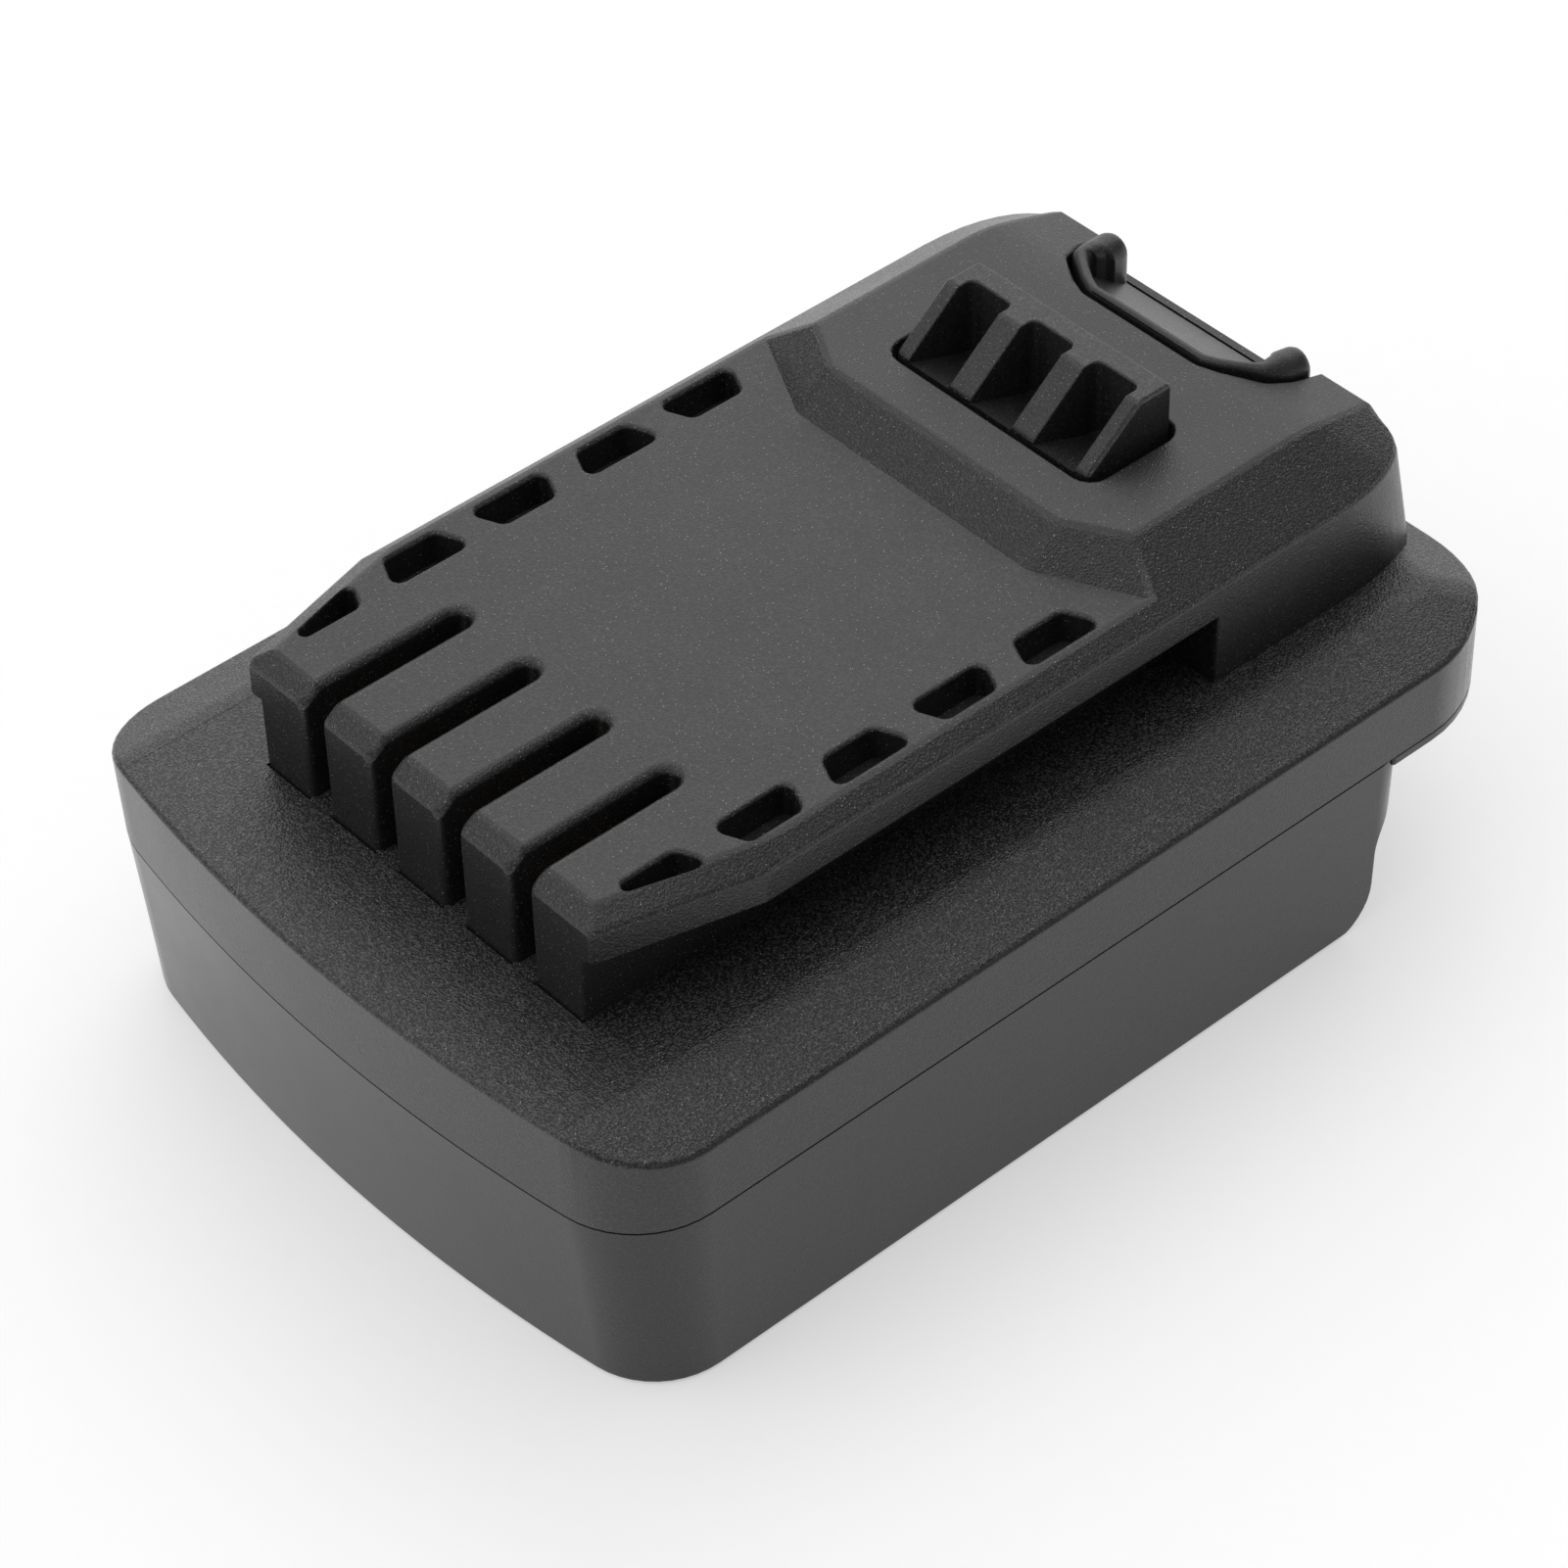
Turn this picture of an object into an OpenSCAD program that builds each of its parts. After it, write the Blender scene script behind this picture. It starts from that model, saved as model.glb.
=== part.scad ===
// Battery adapter for a cordless tool.
// A slide foot on top goes into the tool, a socket below takes the battery pack.
// Millimetres. +X runs to the latch end, +Z is up.
// The origin lies under the middle of the housing, on the plane that it stands on.

/* [Housing] */
// Overall length
body_l = 112.7; // [110:0.1:116]
// Overall width
body_w = 76; // [74:0.5:79]
// Overall height, from the underside to the top of the latch
body_h = 51.3; // [50.7:0.1:52.9]
// Height of the flat deck above the seam
deck_h = 10.1; // [9.8:0.1:10.7]
// Width of the sloping band along the sides and the rear of the deck
bevel_w = 6.9; // [5:0.1:7.5]
// Drop of that band at the rim
bevel_drop = 2.4; // [1.5:0.1:2.6]
// Radius of the bowed front, in plan
bow_r = 185; // [160:5:260]
// Corner radius at the front
front_corner_r = 9.5; // [8:0.5:11]
// Corner radius at the rear
rear_corner_r = 13.4; // [11:0.2:14]
// How far the front leans in from the deck down to the seam
front_lean = 0.4; // [0.2:0.1:0.8]
// How far the skirt's front leans in from the seam down to the underside
skirt_lean = 1.25; // [0.5:0.05:1.5]
// Wall thickness of the mouldings
wall = 2.4; // [2.2:0.1:2.6]

/* [Foot] */
// Width across the foot's plate
foot_w = 54.8; // [54:0.1:56]
// Width of the stem under the plate
stem_w = 43.7; // [43:0.1:44.5]
// Height of the foot above the deck
foot_h = 12.4; // [12:0.1:13]
// Clear height of the rail groove under the plate
rail_gap = 7.4; // [7:0.1:7.6]
// Distance from the front of the housing to the front of the foot
foot_setback = 12.5; // [12:0.1:13.5]
// Distance between neighbouring contact slots
slot_pitch = 9.34; // [9.2:0.02:9.6]
// Width of a contact slot
slot_w = 2.3; // [2.2:0.1:2.6]
// Length of a contact slot from the front of the foot
slot_l = 17.4; // [16.8:0.1:18]

/* [Latch] */
// Height of the rear block above the foot
block_rise = 3.3; // [3:0.1:3.6]
// Height of the latch above the block
latch_rise = 5.1; // [4.8:0.1:5.3]
// Width of the latch
latch_w = 25.1; // [24.6:0.1:25.6]
// How far the latch and the button go down
latch_travel = 5; // [4:0.1:5]
// Wire thickness of the return springs
spring_wire = 0.7; // [0.6:0.05:0.8]
// Turns of a return spring
spring_turns = 7; // [5:1:8]

/* [Socket] */
// Thickness of the socket's roof
roof_t = 2.8; // [2.6:0.1:3]
// Thickness of the skirt
skirt_t = 3; // [2.8:0.1:3.2]
// Width of the rails that hold the battery pack
rail_w = 4.5; // [4:0.1:5]
// Thickness of those rails
rail_t = 3; // [2.6:0.1:3.4]
// Thickness of the lip plate under the rear overhang
lip_t = 1.2; // [1:0.1:1.3]

/* [Electrics] */
// Distance between the two battery blades
blade_pitch = 23; // [22:0.5:24]
// Thickness of the circuit board
board_t = 1.6; // [1.4:0.1:1.8]
// Outer diameter of the power wires
wire_d = 2.4; // [2:0.1:2.5]

/* [Fasteners and fits] */
// Shank radius of the screws
screw_r = 1.4; // [1.3:0.05:1.5]
// Head radius of the screws
head_r = 2.7; // [2.5:0.1:2.8]
// Clearance round a moving piece
moving_gap = 0.4; // [0.35:0.05:0.5]

/* [Hidden] */
$fn = 64;
eps = 0.01;
fit = 0.05;

// Heights
deck_t = 2.6;
foot_chamfer_h = 1.3;
seam_z = body_h - latch_rise - block_rise - foot_h - deck_h;
roof_z = seam_z - roof_t;
deck_z = seam_z + deck_h;
ceiling_z = deck_z - deck_t;
foot_z = deck_z + foot_h;
plate_z = deck_z + rail_gap;
plate_shoulder_z = foot_z - foot_chamfer_h;
block_z = foot_z + block_rise;
block_ceiling_z = block_z - wall;
latch_z = block_z + latch_rise;
lip_z = seam_z - lip_t;

// Housing in plan
half_w = body_w / 2;
rear_x = body_l / 2;
front_x = -rear_x;
seam_front_x = front_x + front_lean;
seam_step = 0.4;
side_step = 0.2;
side_draft = 0.4;
skirt_front_x = seam_front_x + seam_step;
skirt_half_w = half_w - side_step;
base_front_x = skirt_front_x + skirt_lean;
base_half_w = skirt_half_w - side_draft;
inner_half_w = half_w - wall;
lean_end = 10;

// Skirt below the seam
overhang_l = 15.8;
open_end_step = 3.8;
lip_overlap = 2.7;
skirt_rear_x = rear_x - overhang_l;
skirt_corner_r = 4.2;
skirt_front_r = front_corner_r - 3 * seam_step;
open_end_x = skirt_rear_x - open_end_step;
open_end_drop = 4;
open_end_rise = 4.7;
open_end_top_z = seam_z - lip_t - open_end_drop;
open_end_low_z = open_end_top_z - open_end_rise;
skirt_foot_r = 5;
lip_front_x = skirt_rear_x - lip_overlap;
socket_half_w = base_half_w - skirt_t;
socket_front_x = base_front_x + skirt_t;
rail_z = 2.5;

// Foot in plan
foot_x = front_x + foot_setback;
foot_half_w = foot_w / 2;
stem_half_w = stem_w / 2;
foot_chamfer_w = 1.85;
foot_taper_l = 15.5;
foot_nose_inset = 4.1;
foot_nose_half_w = foot_half_w - foot_nose_inset;
slot_end_x = foot_x + slot_l;
slot_chamfer = 0.9;
slot_floor_t = 0.6;
slot_floor_z = ceiling_z + slot_floor_t;
rail_stop_setback = 31.5;
rail_stop_x = rear_x - rail_stop_setback;

// Vent pockets along the foot's long edges
vent_count = 5;
vent_pitch = 11.13;
vent_setback = 8.1;
vent_x = foot_x + vent_setback;
vent_long = 8.7;
vent_short = 5.7;
vent_inset = 2.8;
vent_w = 3.4;
vent_out_y = foot_half_w - vent_inset;
vent_in_y = vent_out_y - vent_w;
vent_depth = 3.4;
vent_margin = 0.3;

// Rear block
block_l = 43.2;
ramp_x = rear_x - block_l;
ramp_l = 3.9;
ramp_wing = 5.3;
top_wing = 3.4;
ramp_half_w = 15.2;
chamfer_slope = foot_chamfer_w / (foot_z - plate_shoulder_z);
block_half_w = foot_half_w - chamfer_slope * (block_z - plate_shoulder_z);
block_setback = 4.8;
block_slope_l = 9.15;
block_rear_x = rear_x - block_setback;
block_slope_x = block_rear_x - block_slope_l;
block_rear_drop = 2.4;
block_rear_inset = 7.2;
block_rear_half_w = foot_half_w - block_rear_inset;
block_lean = 0.21;
block_cavity_x = ramp_x + ramp_l + top_wing;
corner_l = 11.7;
corner_w = 5.4;
corner_x = rear_x - overhang_l;
cavity_setback = 10;
cavity_rear_x = rear_x - cavity_setback;

// Latch and its hole
hole_setback = 34;
hole_gap = 0.7;
hole_side_gap = 1;
hole_x = rear_x - hole_setback;
hole_l = 11.8;
hole_half_w = latch_w / 2 + hole_side_gap;
hole_r = 2;
latch_front_x = hole_x + hole_gap;
latch_rear_x = hole_x + hole_l - hole_gap;
latch_top_l = 4.2;
pocket_count = 3;
pocket_w = 5.3;
pocket_pitch = 8.2;
pocket_back = 2.4;
flange_lip = 1;
flange_half_w = hole_half_w + flange_lip;
flange_t = 2.4;
flange_z = block_ceiling_z - moving_gap - flange_t;
carriage_t = 2.5;
carriage_depth = 10.7;
carriage_z = block_z - carriage_depth;
carriage_top_z = carriage_z + carriage_t;
carriage_inset = 1.05;
carriage_half_w = latch_w / 2 - carriage_inset;

// Release button and its cut-out
button_l = 8.6;
button_half_w = 13.9;
button_setback = 5.4;
button_rear_x = rear_x - button_setback;
button_x = button_rear_x - button_l;
button_rear_gap = 0.5;
sill_depth = 5.8;
sill_z = block_z - sill_depth;
button_rim = 1.5;
button_rise = 0.4;
button_fall = 1.3;
button_top_z = block_z + button_rise;
button_ear_z = button_top_z - button_fall;
button_peg_r = 1.5;
button_peg_setback = 2.6;
button_peg_x = button_x + button_peg_setback;
button_peg_y = 5;
carriage_rear_x = button_rear_x - button_rear_gap;

// Return springs
spring_setback = 0.6;
spring_inset = 4.55;
spring_x = latch_rear_x + spring_setback;
spring_y = latch_w / 2 - spring_inset;
spring_r = 2.9;
spring_post_gap = 0.6;
spring_post_r = spring_r - spring_wire / 2 - spring_post_gap;
spigot_h = 2.4;
spigot_gap = 1.5;
spring_post_h = carriage_z - seam_z - spigot_h - latch_travel - spigot_gap;

// Tool contacts and their carrier
carrier_setback = 2.8;
carrier_margin = 4.4;
carrier_gap = 0.3;
carrier_x = foot_x + carrier_setback;
carrier_l = 16;
carrier_half_w = 1.5 * slot_pitch + carrier_margin;
carrier_top_z = ceiling_z - carrier_gap;
contact_setback = 1.2;
contact_floor = 3.1;
contact_x = carrier_x + contact_setback;
contact_l = 11;
contact_base_z = seam_z + contact_floor;
contact_base_h = 2.5;
contact_base_w = 2 * fit + slot_w - carrier_gap;
contact_leaf_t = 0.4;
contact_leaf_gap = 1;
contact_leaf_h = 11;
contact_tail_w = 2;
contact_tail_t = 0.6;

// Circuit board
board_setback = 2.6;
board_x = carrier_x + carrier_l + board_setback;
board_l = 36;
board_half_w = 17;
board_post_h = 2;
board_z = seam_z + board_post_h;
board_top_z = board_z + board_t;
board_post_r = 2.6;
board_screw_x = board_x + 0.75 * board_l;
capacitor_h = 8;
capacitor_r = 3.1;
transistor_y = 7.5;
board_screw_inset = 4;
board_screw_y = board_half_w - board_screw_inset;
contact_lap = 3;
contact_tail_end_x = board_x + contact_lap;

// Battery terminals
terminal_gap = 2;
terminal_margin = 7.5;
block_front_x = socket_front_x + terminal_gap;
terminal_l = 11;
terminal_half_w = blade_pitch / 2 + terminal_margin;
terminal_h = 10.1;
terminal_base_z = roof_z - terminal_h;
blade_t = 0.8;
blade_h = 6;
blade_floor = 1.8;
blade_z = terminal_base_z + blade_floor;
blade_reach = 13;
blade_root_inset = 3.4;
blade_root_x = block_front_x + blade_root_inset;
blade_tab_l = 3;
blade_tab_h = 4.4;
blade_tab_z = seam_z + blade_tab_h;
terminal_screw_inset = 4.2;
terminal_screw_x = block_front_x + terminal_screw_inset;
terminal_screw_y = 4.5;
terminal_screw_l = 8;

// Screws
head_h = 1.6;
screw_gap = 0.3;
boss_wall = 1.8;
screw_tip_gap = 1;
shell_screw_lead = 3;
shell_screw_setback = 42;
shell_screw_inset = 11;
clear_r = screw_r + screw_gap;
boss_r = screw_r + boss_wall;
shell_screw_xs = [foot_x - shell_screw_lead, rear_x - shell_screw_setback];
shell_screw_y = half_w - shell_screw_inset;
shell_screw_l = ceiling_z - lip_z - screw_tip_gap;
lip_screw_inset = 10;
lip_screw_x = rear_x - lip_screw_inset;
lip_screw_y = half_w - lip_screw_inset;
lip_screw_l = ceiling_z - lip_z - screw_tip_gap;
board_screw_bite = 1.2;
board_screw_l = board_t + board_post_h + board_screw_bite;

// Power wires, from a blade's tab round the carrier to the board (positive side)
tab_x = blade_root_x + blade_tab_l / 2;
tab_y = blade_pitch / 2;
wire_z = blade_tab_z - 0.4;
wire_rest_z = board_top_z + wire_d / 2;
wire_route = [
    [tab_x, tab_y + blade_t / 2, wire_z],
    [tab_x, tab_y + 5, wire_z],
    [tab_x + 1, carrier_half_w + 1, wire_z],
    [tab_x + 4, carrier_half_w + 3.6, wire_z],
    [carrier_x + carrier_l - 4, carrier_half_w + 3.6, wire_z],
    [carrier_x + carrier_l, carrier_half_w + 2.4, wire_rest_z],
    [board_x + 3, board_half_w - 1, wire_rest_z],
    [board_x + 6, board_half_w - 3.4, wire_rest_z],
    [board_x + 10, board_half_w - 3.6, wire_rest_z]
];
wire_sides = 8;

// Colours
shell_colour = [0.10, 0.10, 0.105];
latch_colour = [0.07, 0.07, 0.075];
spring_colour = [0.62, 0.63, 0.65];
brass_colour = [0.80, 0.66, 0.36];
steel_colour = [0.55, 0.56, 0.58];
board_colour = [0.07, 0.30, 0.16];

// Plan of the housing: a bowed front, straight sides and round corners that run on smoothly
module housing_plan(half, front, rear, front_r, rear_r) {
    bow_x = front + bow_r;
    corner_y = half - front_r;
    ray = bow_r - front_r;
    corner_x = bow_x - sqrt(ray * ray - corner_y * corner_y);
    reach = front_r + 6;
    reach_x = corner_x - reach * (bow_x - corner_x) / ray;
    reach_y = corner_y + reach * corner_y / ray;
    translate([corner_x, -half])
        square([rear - rear_r - corner_x, 2 * half]);
    translate([rear - rear_r - eps, -half + rear_r])
        square([rear_r + eps, 2 * (half - rear_r)]);
    for (s = [-1, 1]) {
        translate([corner_x, s * corner_y])
            circle(front_r);
        translate([rear - rear_r, s * (half - rear_r)])
            circle(rear_r);
    }
    intersection() {
        translate([bow_x, 0])
            circle(bow_r, $fn = 240);
        polygon([
            [corner_x + eps, corner_y], [reach_x, reach_y],
            [reach_x, -reach_y], [corner_x + eps, -corner_y]
        ]);
    }
}

// A thin slice at a height, as one end of a drafted solid
module slice(z) {
    translate([0, 0, z])
        linear_extrude(eps)
            children();
}

// A solid with one outline all the way up
module column(z0, z1) {
    translate([0, 0, z0])
        linear_extrude(z1 - z0)
            children();
}

// A profile in the XZ plane, drawn out across the width
module across(half) {
    translate([0, half, 0])
        rotate([90, 0, 0])
            linear_extrude(2 * half)
                children();
}

// A profile in the YZ plane, drawn out along the length
module along(x0, x1) {
    translate([x0, 0, 0])
        rotate([90, 0, 90])
            linear_extrude(x1 - x0)
                children();
}

// Leans upright walls along X: by the rate for each step down, from a height where nothing shifts
module lean(rate, z) {
    multmatrix([
        [1, 0, -rate, rate * z],
        [0, 1, 0, 0],
        [0, 0, 1, 0],
        [0, 0, 0, 1]
    ])
        children();
}

module both_sides() {
    children();
    mirror([0, 1, 0])
        children();
}

// Upper shell

// Wedge that cuts a sloping band, from the deck's level down to the rim at a distance
module band_cut(rim) {
    slope = bevel_drop / bevel_w;
    polygon([
        [rim - bevel_w - 1, deck_z + slope], [rim + 1, deck_z - bevel_drop - slope], [rim + 1, deck_z + slope]
    ]);
}

// Housing above the seam, with sloping bands along the sides and the rear
module upper_housing() {
    difference() {
        union() {
            lean(front_lean / deck_h, deck_z)
                column(seam_z, deck_z)
                    housing_plan(half_w, front_x, 0, front_corner_r, skirt_corner_r);
            column(seam_z, deck_z)
                intersection() {
                    housing_plan(half_w, front_x, rear_x, front_corner_r, rear_corner_r);
                    translate([-lean_end, -half_w - 1])
                        square([rear_x + lean_end + 1, body_w + 2]);
                }
        }
        both_sides()
            along(front_x - 1, rear_x + 1)
                band_cut(half_w);
        across(half_w + 1)
            band_cut(rear_x);
    }
}

// Outline of the foot and the block on one side, drawn in by a margin
function foot_nose(margin) = [
    [foot_x + margin, foot_nose_half_w - margin],
    [foot_x + foot_taper_l + 1.8 * margin, foot_half_w - margin]
];
function block_corner(margin) = [
    [corner_x, foot_half_w - margin],
    [corner_x + 0.513 * corner_l - 0.2 * margin, foot_half_w - 0.204 * corner_w - margin],
    [corner_x + 0.88 * corner_l - 0.2 * margin, foot_half_w - 0.556 * corner_w - margin],
    [corner_x + corner_l - 0.2 * margin, foot_half_w - corner_w - margin]
];

// Closes an outline that is given on one side, from the front to the rear
module mirrored_plan(side) {
    last = len(side) - 1;
    polygon(concat(side, [for (i = [0:last]) [side[last - i][0], -side[last - i][1]]]));
}

module foot_plan(margin) {
    mirrored_plan(concat(foot_nose(margin), block_corner(margin)));
}

module ramp_plan() {
    mirrored_plan(concat(
        [[ramp_x, ramp_half_w], [ramp_x + ramp_wing, foot_half_w - foot_chamfer_w]],
        block_corner(foot_chamfer_w)
    ));
}

module block_top_plan() {
    mirrored_plan([
        [ramp_x + ramp_l, ramp_half_w - 0.3],
        [ramp_x + ramp_l + top_wing, block_half_w],
        [block_slope_x, block_half_w]
    ]);
}

// Walls of the block above the deck, with a rear face that leans out to the deck
module block_wall() {
    overlap = 8;
    column(deck_z - 1, plate_shoulder_z)
        translate([rail_stop_x, -foot_half_w])
            square([overlap, foot_w]);
    lean(block_lean, plate_shoulder_z)
        column(deck_z - 1, plate_shoulder_z)
            mirrored_plan(concat([[rail_stop_x + overlap / 2, foot_half_w]], block_corner(0)));
}

module foot_and_block() {
    column(deck_z - 1, plate_z + eps)
        translate([foot_x, -stem_half_w])
            square([rail_stop_x - foot_x + eps, stem_w]);
    column(plate_z, plate_shoulder_z)
        mirrored_plan(concat(foot_nose(0), [[rail_stop_x + 1, foot_half_w]]));
    block_wall();
    hull() {
        slice(plate_shoulder_z - eps)
            foot_plan(0);
        slice(foot_z - eps)
            foot_plan(foot_chamfer_w);
    }
    hull() {
        slice(foot_z - eps)
            ramp_plan();
        slice(block_z - eps)
            block_top_plan();
        slice(block_z - block_rear_drop - eps)
            translate([block_rear_x - 1, -block_rear_half_w])
                square([1, 2 * block_rear_half_w]);
    }
}

function slot_y(i) = (i - 1.5) * slot_pitch;

// One contact slot: open to the front, round at its end, with chamfered edges
module slot_cut() {
    cut_w = slot_w + 2 * slot_chamfer;
    column(slot_floor_z, foot_z + 1) {
        translate([foot_x - eps, -slot_w / 2])
            square([slot_l + eps - slot_w / 2, slot_w]);
        translate([slot_end_x - slot_w / 2, 0])
            circle(slot_w / 2);
    }
    along(foot_x - 1, slot_end_x - slot_w / 2)
        polygon([
            [-slot_w / 2, foot_z - 1], [slot_w / 2, foot_z - 1],
            [cut_w / 2, foot_z + eps], [-cut_w / 2, foot_z + eps]
        ]);
    translate([slot_end_x - slot_w / 2, 0, foot_z - 1])
        cylinder(h = 1 + eps, r1 = slot_w / 2, r2 = cut_w / 2);
    column(deck_z, foot_z + 1)
        polygon([
            [foot_x - eps, -cut_w / 2], [foot_x + slot_chamfer, -slot_w / 2],
            [foot_x + slot_chamfer, slot_w / 2], [foot_x - eps, cut_w / 2]
        ]);
    column(seam_z, slot_floor_z + eps)
        translate([contact_x - 0.5, -slot_w / 2])
            square([contact_l + 1, slot_w]);
}

// One vent pocket: its long edge lies inside on odd pockets and outside on even ones
module vent_cut(i) {
    inner = (i % 2 == 0 ? vent_short : vent_long) / 2;
    outer = (i % 2 == 0 ? vent_long : vent_short) / 2;
    x = vent_x + i * vent_pitch;
    column(foot_z - vent_depth, foot_z + 1)
        intersection() {
            polygon([
                [x - inner, vent_in_y], [x + inner, vent_in_y],
                [x + outer, vent_out_y], [x - outer, vent_out_y]
            ]);
            foot_plan(foot_chamfer_w + vent_margin);
        }
}

// Rectangle with round corners, centred on the X axis
module round_slot_plan(x, length, half, r) {
    translate([x + r, -half])
        square([length - 2 * r, 2 * half]);
    translate([x, r - half])
        square([length, 2 * (half - r)]);
    for (sx = [x + r, x + length - r])
        for (sy = [r - half, half - r])
            translate([sx, sy])
                circle(r);
}

// Plan of the release button, grown by a margin for its cut-out
module button_plan(margin, rear) {
    mirrored_plan([
        [button_x - margin, 0.525 * button_half_w],
        [button_x + 0.093 * button_l - margin, 0.647 * button_half_w + margin],
        [button_x + 0.372 * button_l - margin, 0.914 * button_half_w + margin],
        [button_x + 0.605 * button_l, 0.978 * button_half_w + margin],
        [rear, button_half_w + margin]
    ]);
}

// Hollow of the upper shell: under the deck, inside the foot and inside the block
module upper_hollow() {
    column(seam_z - 1, ceiling_z)
        housing_plan(inner_half_w, seam_front_x + wall, rear_x - wall, front_corner_r - wall,
            rear_corner_r - wall);
    column(ceiling_z - 1, foot_z - wall)
        translate([slot_end_x + wall, wall - stem_half_w])
            square([cavity_rear_x - slot_end_x - wall, stem_w - 2 * wall]);
    column(foot_z - wall - 1, block_ceiling_z)
        translate([block_cavity_x, wall - block_half_w])
            square([cavity_rear_x - block_cavity_x, 2 * (block_half_w - wall)]);
    column(ceiling_z - 1, block_z + 1)
        button_plan(moving_gap, button_rear_x + button_rear_gap);
}

// Screw posts that hang from the ceiling
module upper_bosses() {
    for (s = [-1, 1]) {
        for (x = shell_screw_xs)
            translate([x, s * shell_screw_y, seam_z])
                cylinder(h = ceiling_z - seam_z + eps, r = boss_r);
        translate([lip_screw_x, s * lip_screw_y, seam_z])
            cylinder(h = ceiling_z - seam_z + eps, r = boss_r);
    }
}

module upper_screw_bores() {
    for (s = [-1, 1]) {
        for (x = shell_screw_xs)
            translate([x, s * shell_screw_y, seam_z - 1])
                cylinder(h = ceiling_z - seam_z + 1, r = screw_r + fit);
        translate([lip_screw_x, s * lip_screw_y, seam_z - 1])
            cylinder(h = ceiling_z - seam_z + 1, r = screw_r + fit);
    }
}

module upper_shell() {
    color(shell_colour)
        difference() {
            union() {
                difference() {
                    union() {
                        upper_housing();
                        foot_and_block();
                    }
                    upper_hollow();
                }
                upper_bosses();
            }
            for (i = [0:3])
                translate([0, slot_y(i), 0])
                    slot_cut();
            for (i = [0:vent_count - 1])
                both_sides()
                    vent_cut(i);
            column(block_ceiling_z - 1, block_z + 1)
                round_slot_plan(hole_x, hole_l, hole_half_w, hole_r);
            column(sill_z, block_z + 1)
                button_plan(moving_gap, rear_x);
            upper_screw_bores();
        }
}

// Lower shell

// Outside of the skirt, drawn in towards the underside, with its stepped and rounded open end
module skirt_solid() {
    intersection() {
        union() {
            lean(skirt_lean / seam_z, seam_z)
                column(0, seam_z)
                    housing_plan(skirt_half_w, skirt_front_x, 0, skirt_front_r, skirt_corner_r);
            column(0, seam_z)
                intersection() {
                    housing_plan(skirt_half_w, skirt_front_x, skirt_rear_x, skirt_front_r, skirt_corner_r);
                    translate([-lean_end, -half_w - 1])
                        square([rear_x, body_w + 2]);
                }
        }
        along(front_x - 1, rear_x)
            polygon([
                [-base_half_w, 0], [base_half_w, 0], [skirt_half_w, seam_z], [skirt_half_w, seam_z + 1],
                [-skirt_half_w, seam_z + 1], [-skirt_half_w, seam_z]
            ]);
        across(half_w + 1) {
            polygon([
                [front_x - 1, -1], [open_end_x - skirt_foot_r, -1], [open_end_x - skirt_foot_r, skirt_foot_r],
                [open_end_x, skirt_foot_r], [open_end_x, open_end_low_z], [skirt_rear_x, open_end_top_z],
                [skirt_rear_x + 2, open_end_top_z], [skirt_rear_x + 2, seam_z + 1], [front_x - 1, seam_z + 1]
            ]);
            translate([open_end_x - skirt_foot_r, skirt_foot_r])
                circle(skirt_foot_r);
        }
    }
}

module socket_hollow() {
    column(-1, roof_z)
        round_slot_plan(socket_front_x, body_l, socket_half_w, skirt_front_r - skirt_t);
}

// Rails along the socket's sides, cut to the skirt's own outline
module socket_rails() {
    intersection() {
        skirt_solid();
        both_sides()
            column(rail_z, rail_z + rail_t)
                translate([socket_front_x - 1, socket_half_w - rail_w])
                    square([open_end_x + 1 - socket_front_x, rail_w + 1]);
    }
}

module lower_posts() {
    for (s = [-1, 1]) {
        translate([spring_x, s * spring_y, seam_z - eps])
            cylinder(h = spring_post_h + eps, r = spring_post_r);
        for (x = [board_x + 0.15 * board_l, board_screw_x])
            translate([x, s * board_screw_y, seam_z - eps])
                cylinder(h = board_post_h + eps, r = board_post_r);
    }
}

module lower_shell() {
    color(shell_colour)
        difference() {
            union() {
                difference() {
                    skirt_solid();
                    socket_hollow();
                }
                socket_rails();
                lower_posts();
            }
            column(lip_z, seam_z + 1)
                translate([lip_front_x, -half_w - 1])
                    square([rear_x, body_w + 2]);
            for (s = [-1, 1]) {
                for (x = shell_screw_xs)
                    translate([x, s * shell_screw_y, roof_z - 1]) {
                        cylinder(h = roof_t + 2, r = clear_r);
                        cylinder(h = head_h + 1, r = head_r + 0.2);
                    }
                translate([board_screw_x, s * board_screw_y, board_z - board_post_h - board_screw_bite])
                    cylinder(h = board_post_h + 2, r = screw_r + fit);
                translate([terminal_screw_x, s * terminal_screw_y, roof_z - 1])
                    cylinder(h = roof_t + 2, r = clear_r);
                translate([blade_root_x - 0.2, s * blade_pitch / 2 - blade_t / 2 - 0.2, roof_z - 1])
                    cube([blade_tab_l + 0.4, blade_t + 0.4, roof_t + 2]);
            }
        }
}

// Plate that closes the rear overhang from below, with the catch for the battery's latch
module rear_lip_plate() {
    catch_l = 5;
    catch_half_w = 13;
    color(shell_colour)
        difference() {
            intersection() {
                column(lip_z, seam_z)
                    housing_plan(half_w, seam_front_x, rear_x, front_corner_r, rear_corner_r);
                column(lip_z - 1, seam_z + 1)
                    translate([lip_front_x, -half_w - 1])
                        square([rear_x, body_w + 2]);
            }
            column(lip_z - 1, seam_z + 1)
                round_slot_plan(skirt_rear_x + 3, catch_l, catch_half_w, 1);
            for (s = [-1, 1])
                translate([lip_screw_x, s * lip_screw_y, lip_z - 1])
                    cylinder(h = lip_t + 2, r = clear_r);
        }
}

// Latch and button

// Side view of the wedge above its flange
module wedge_side_view() {
    polygon([
        [latch_front_x, flange_z], [latch_rear_x, flange_z], [latch_rear_x, latch_z],
        [latch_rear_x - latch_top_l, latch_z], [latch_front_x, block_z]
    ]);
}

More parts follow.
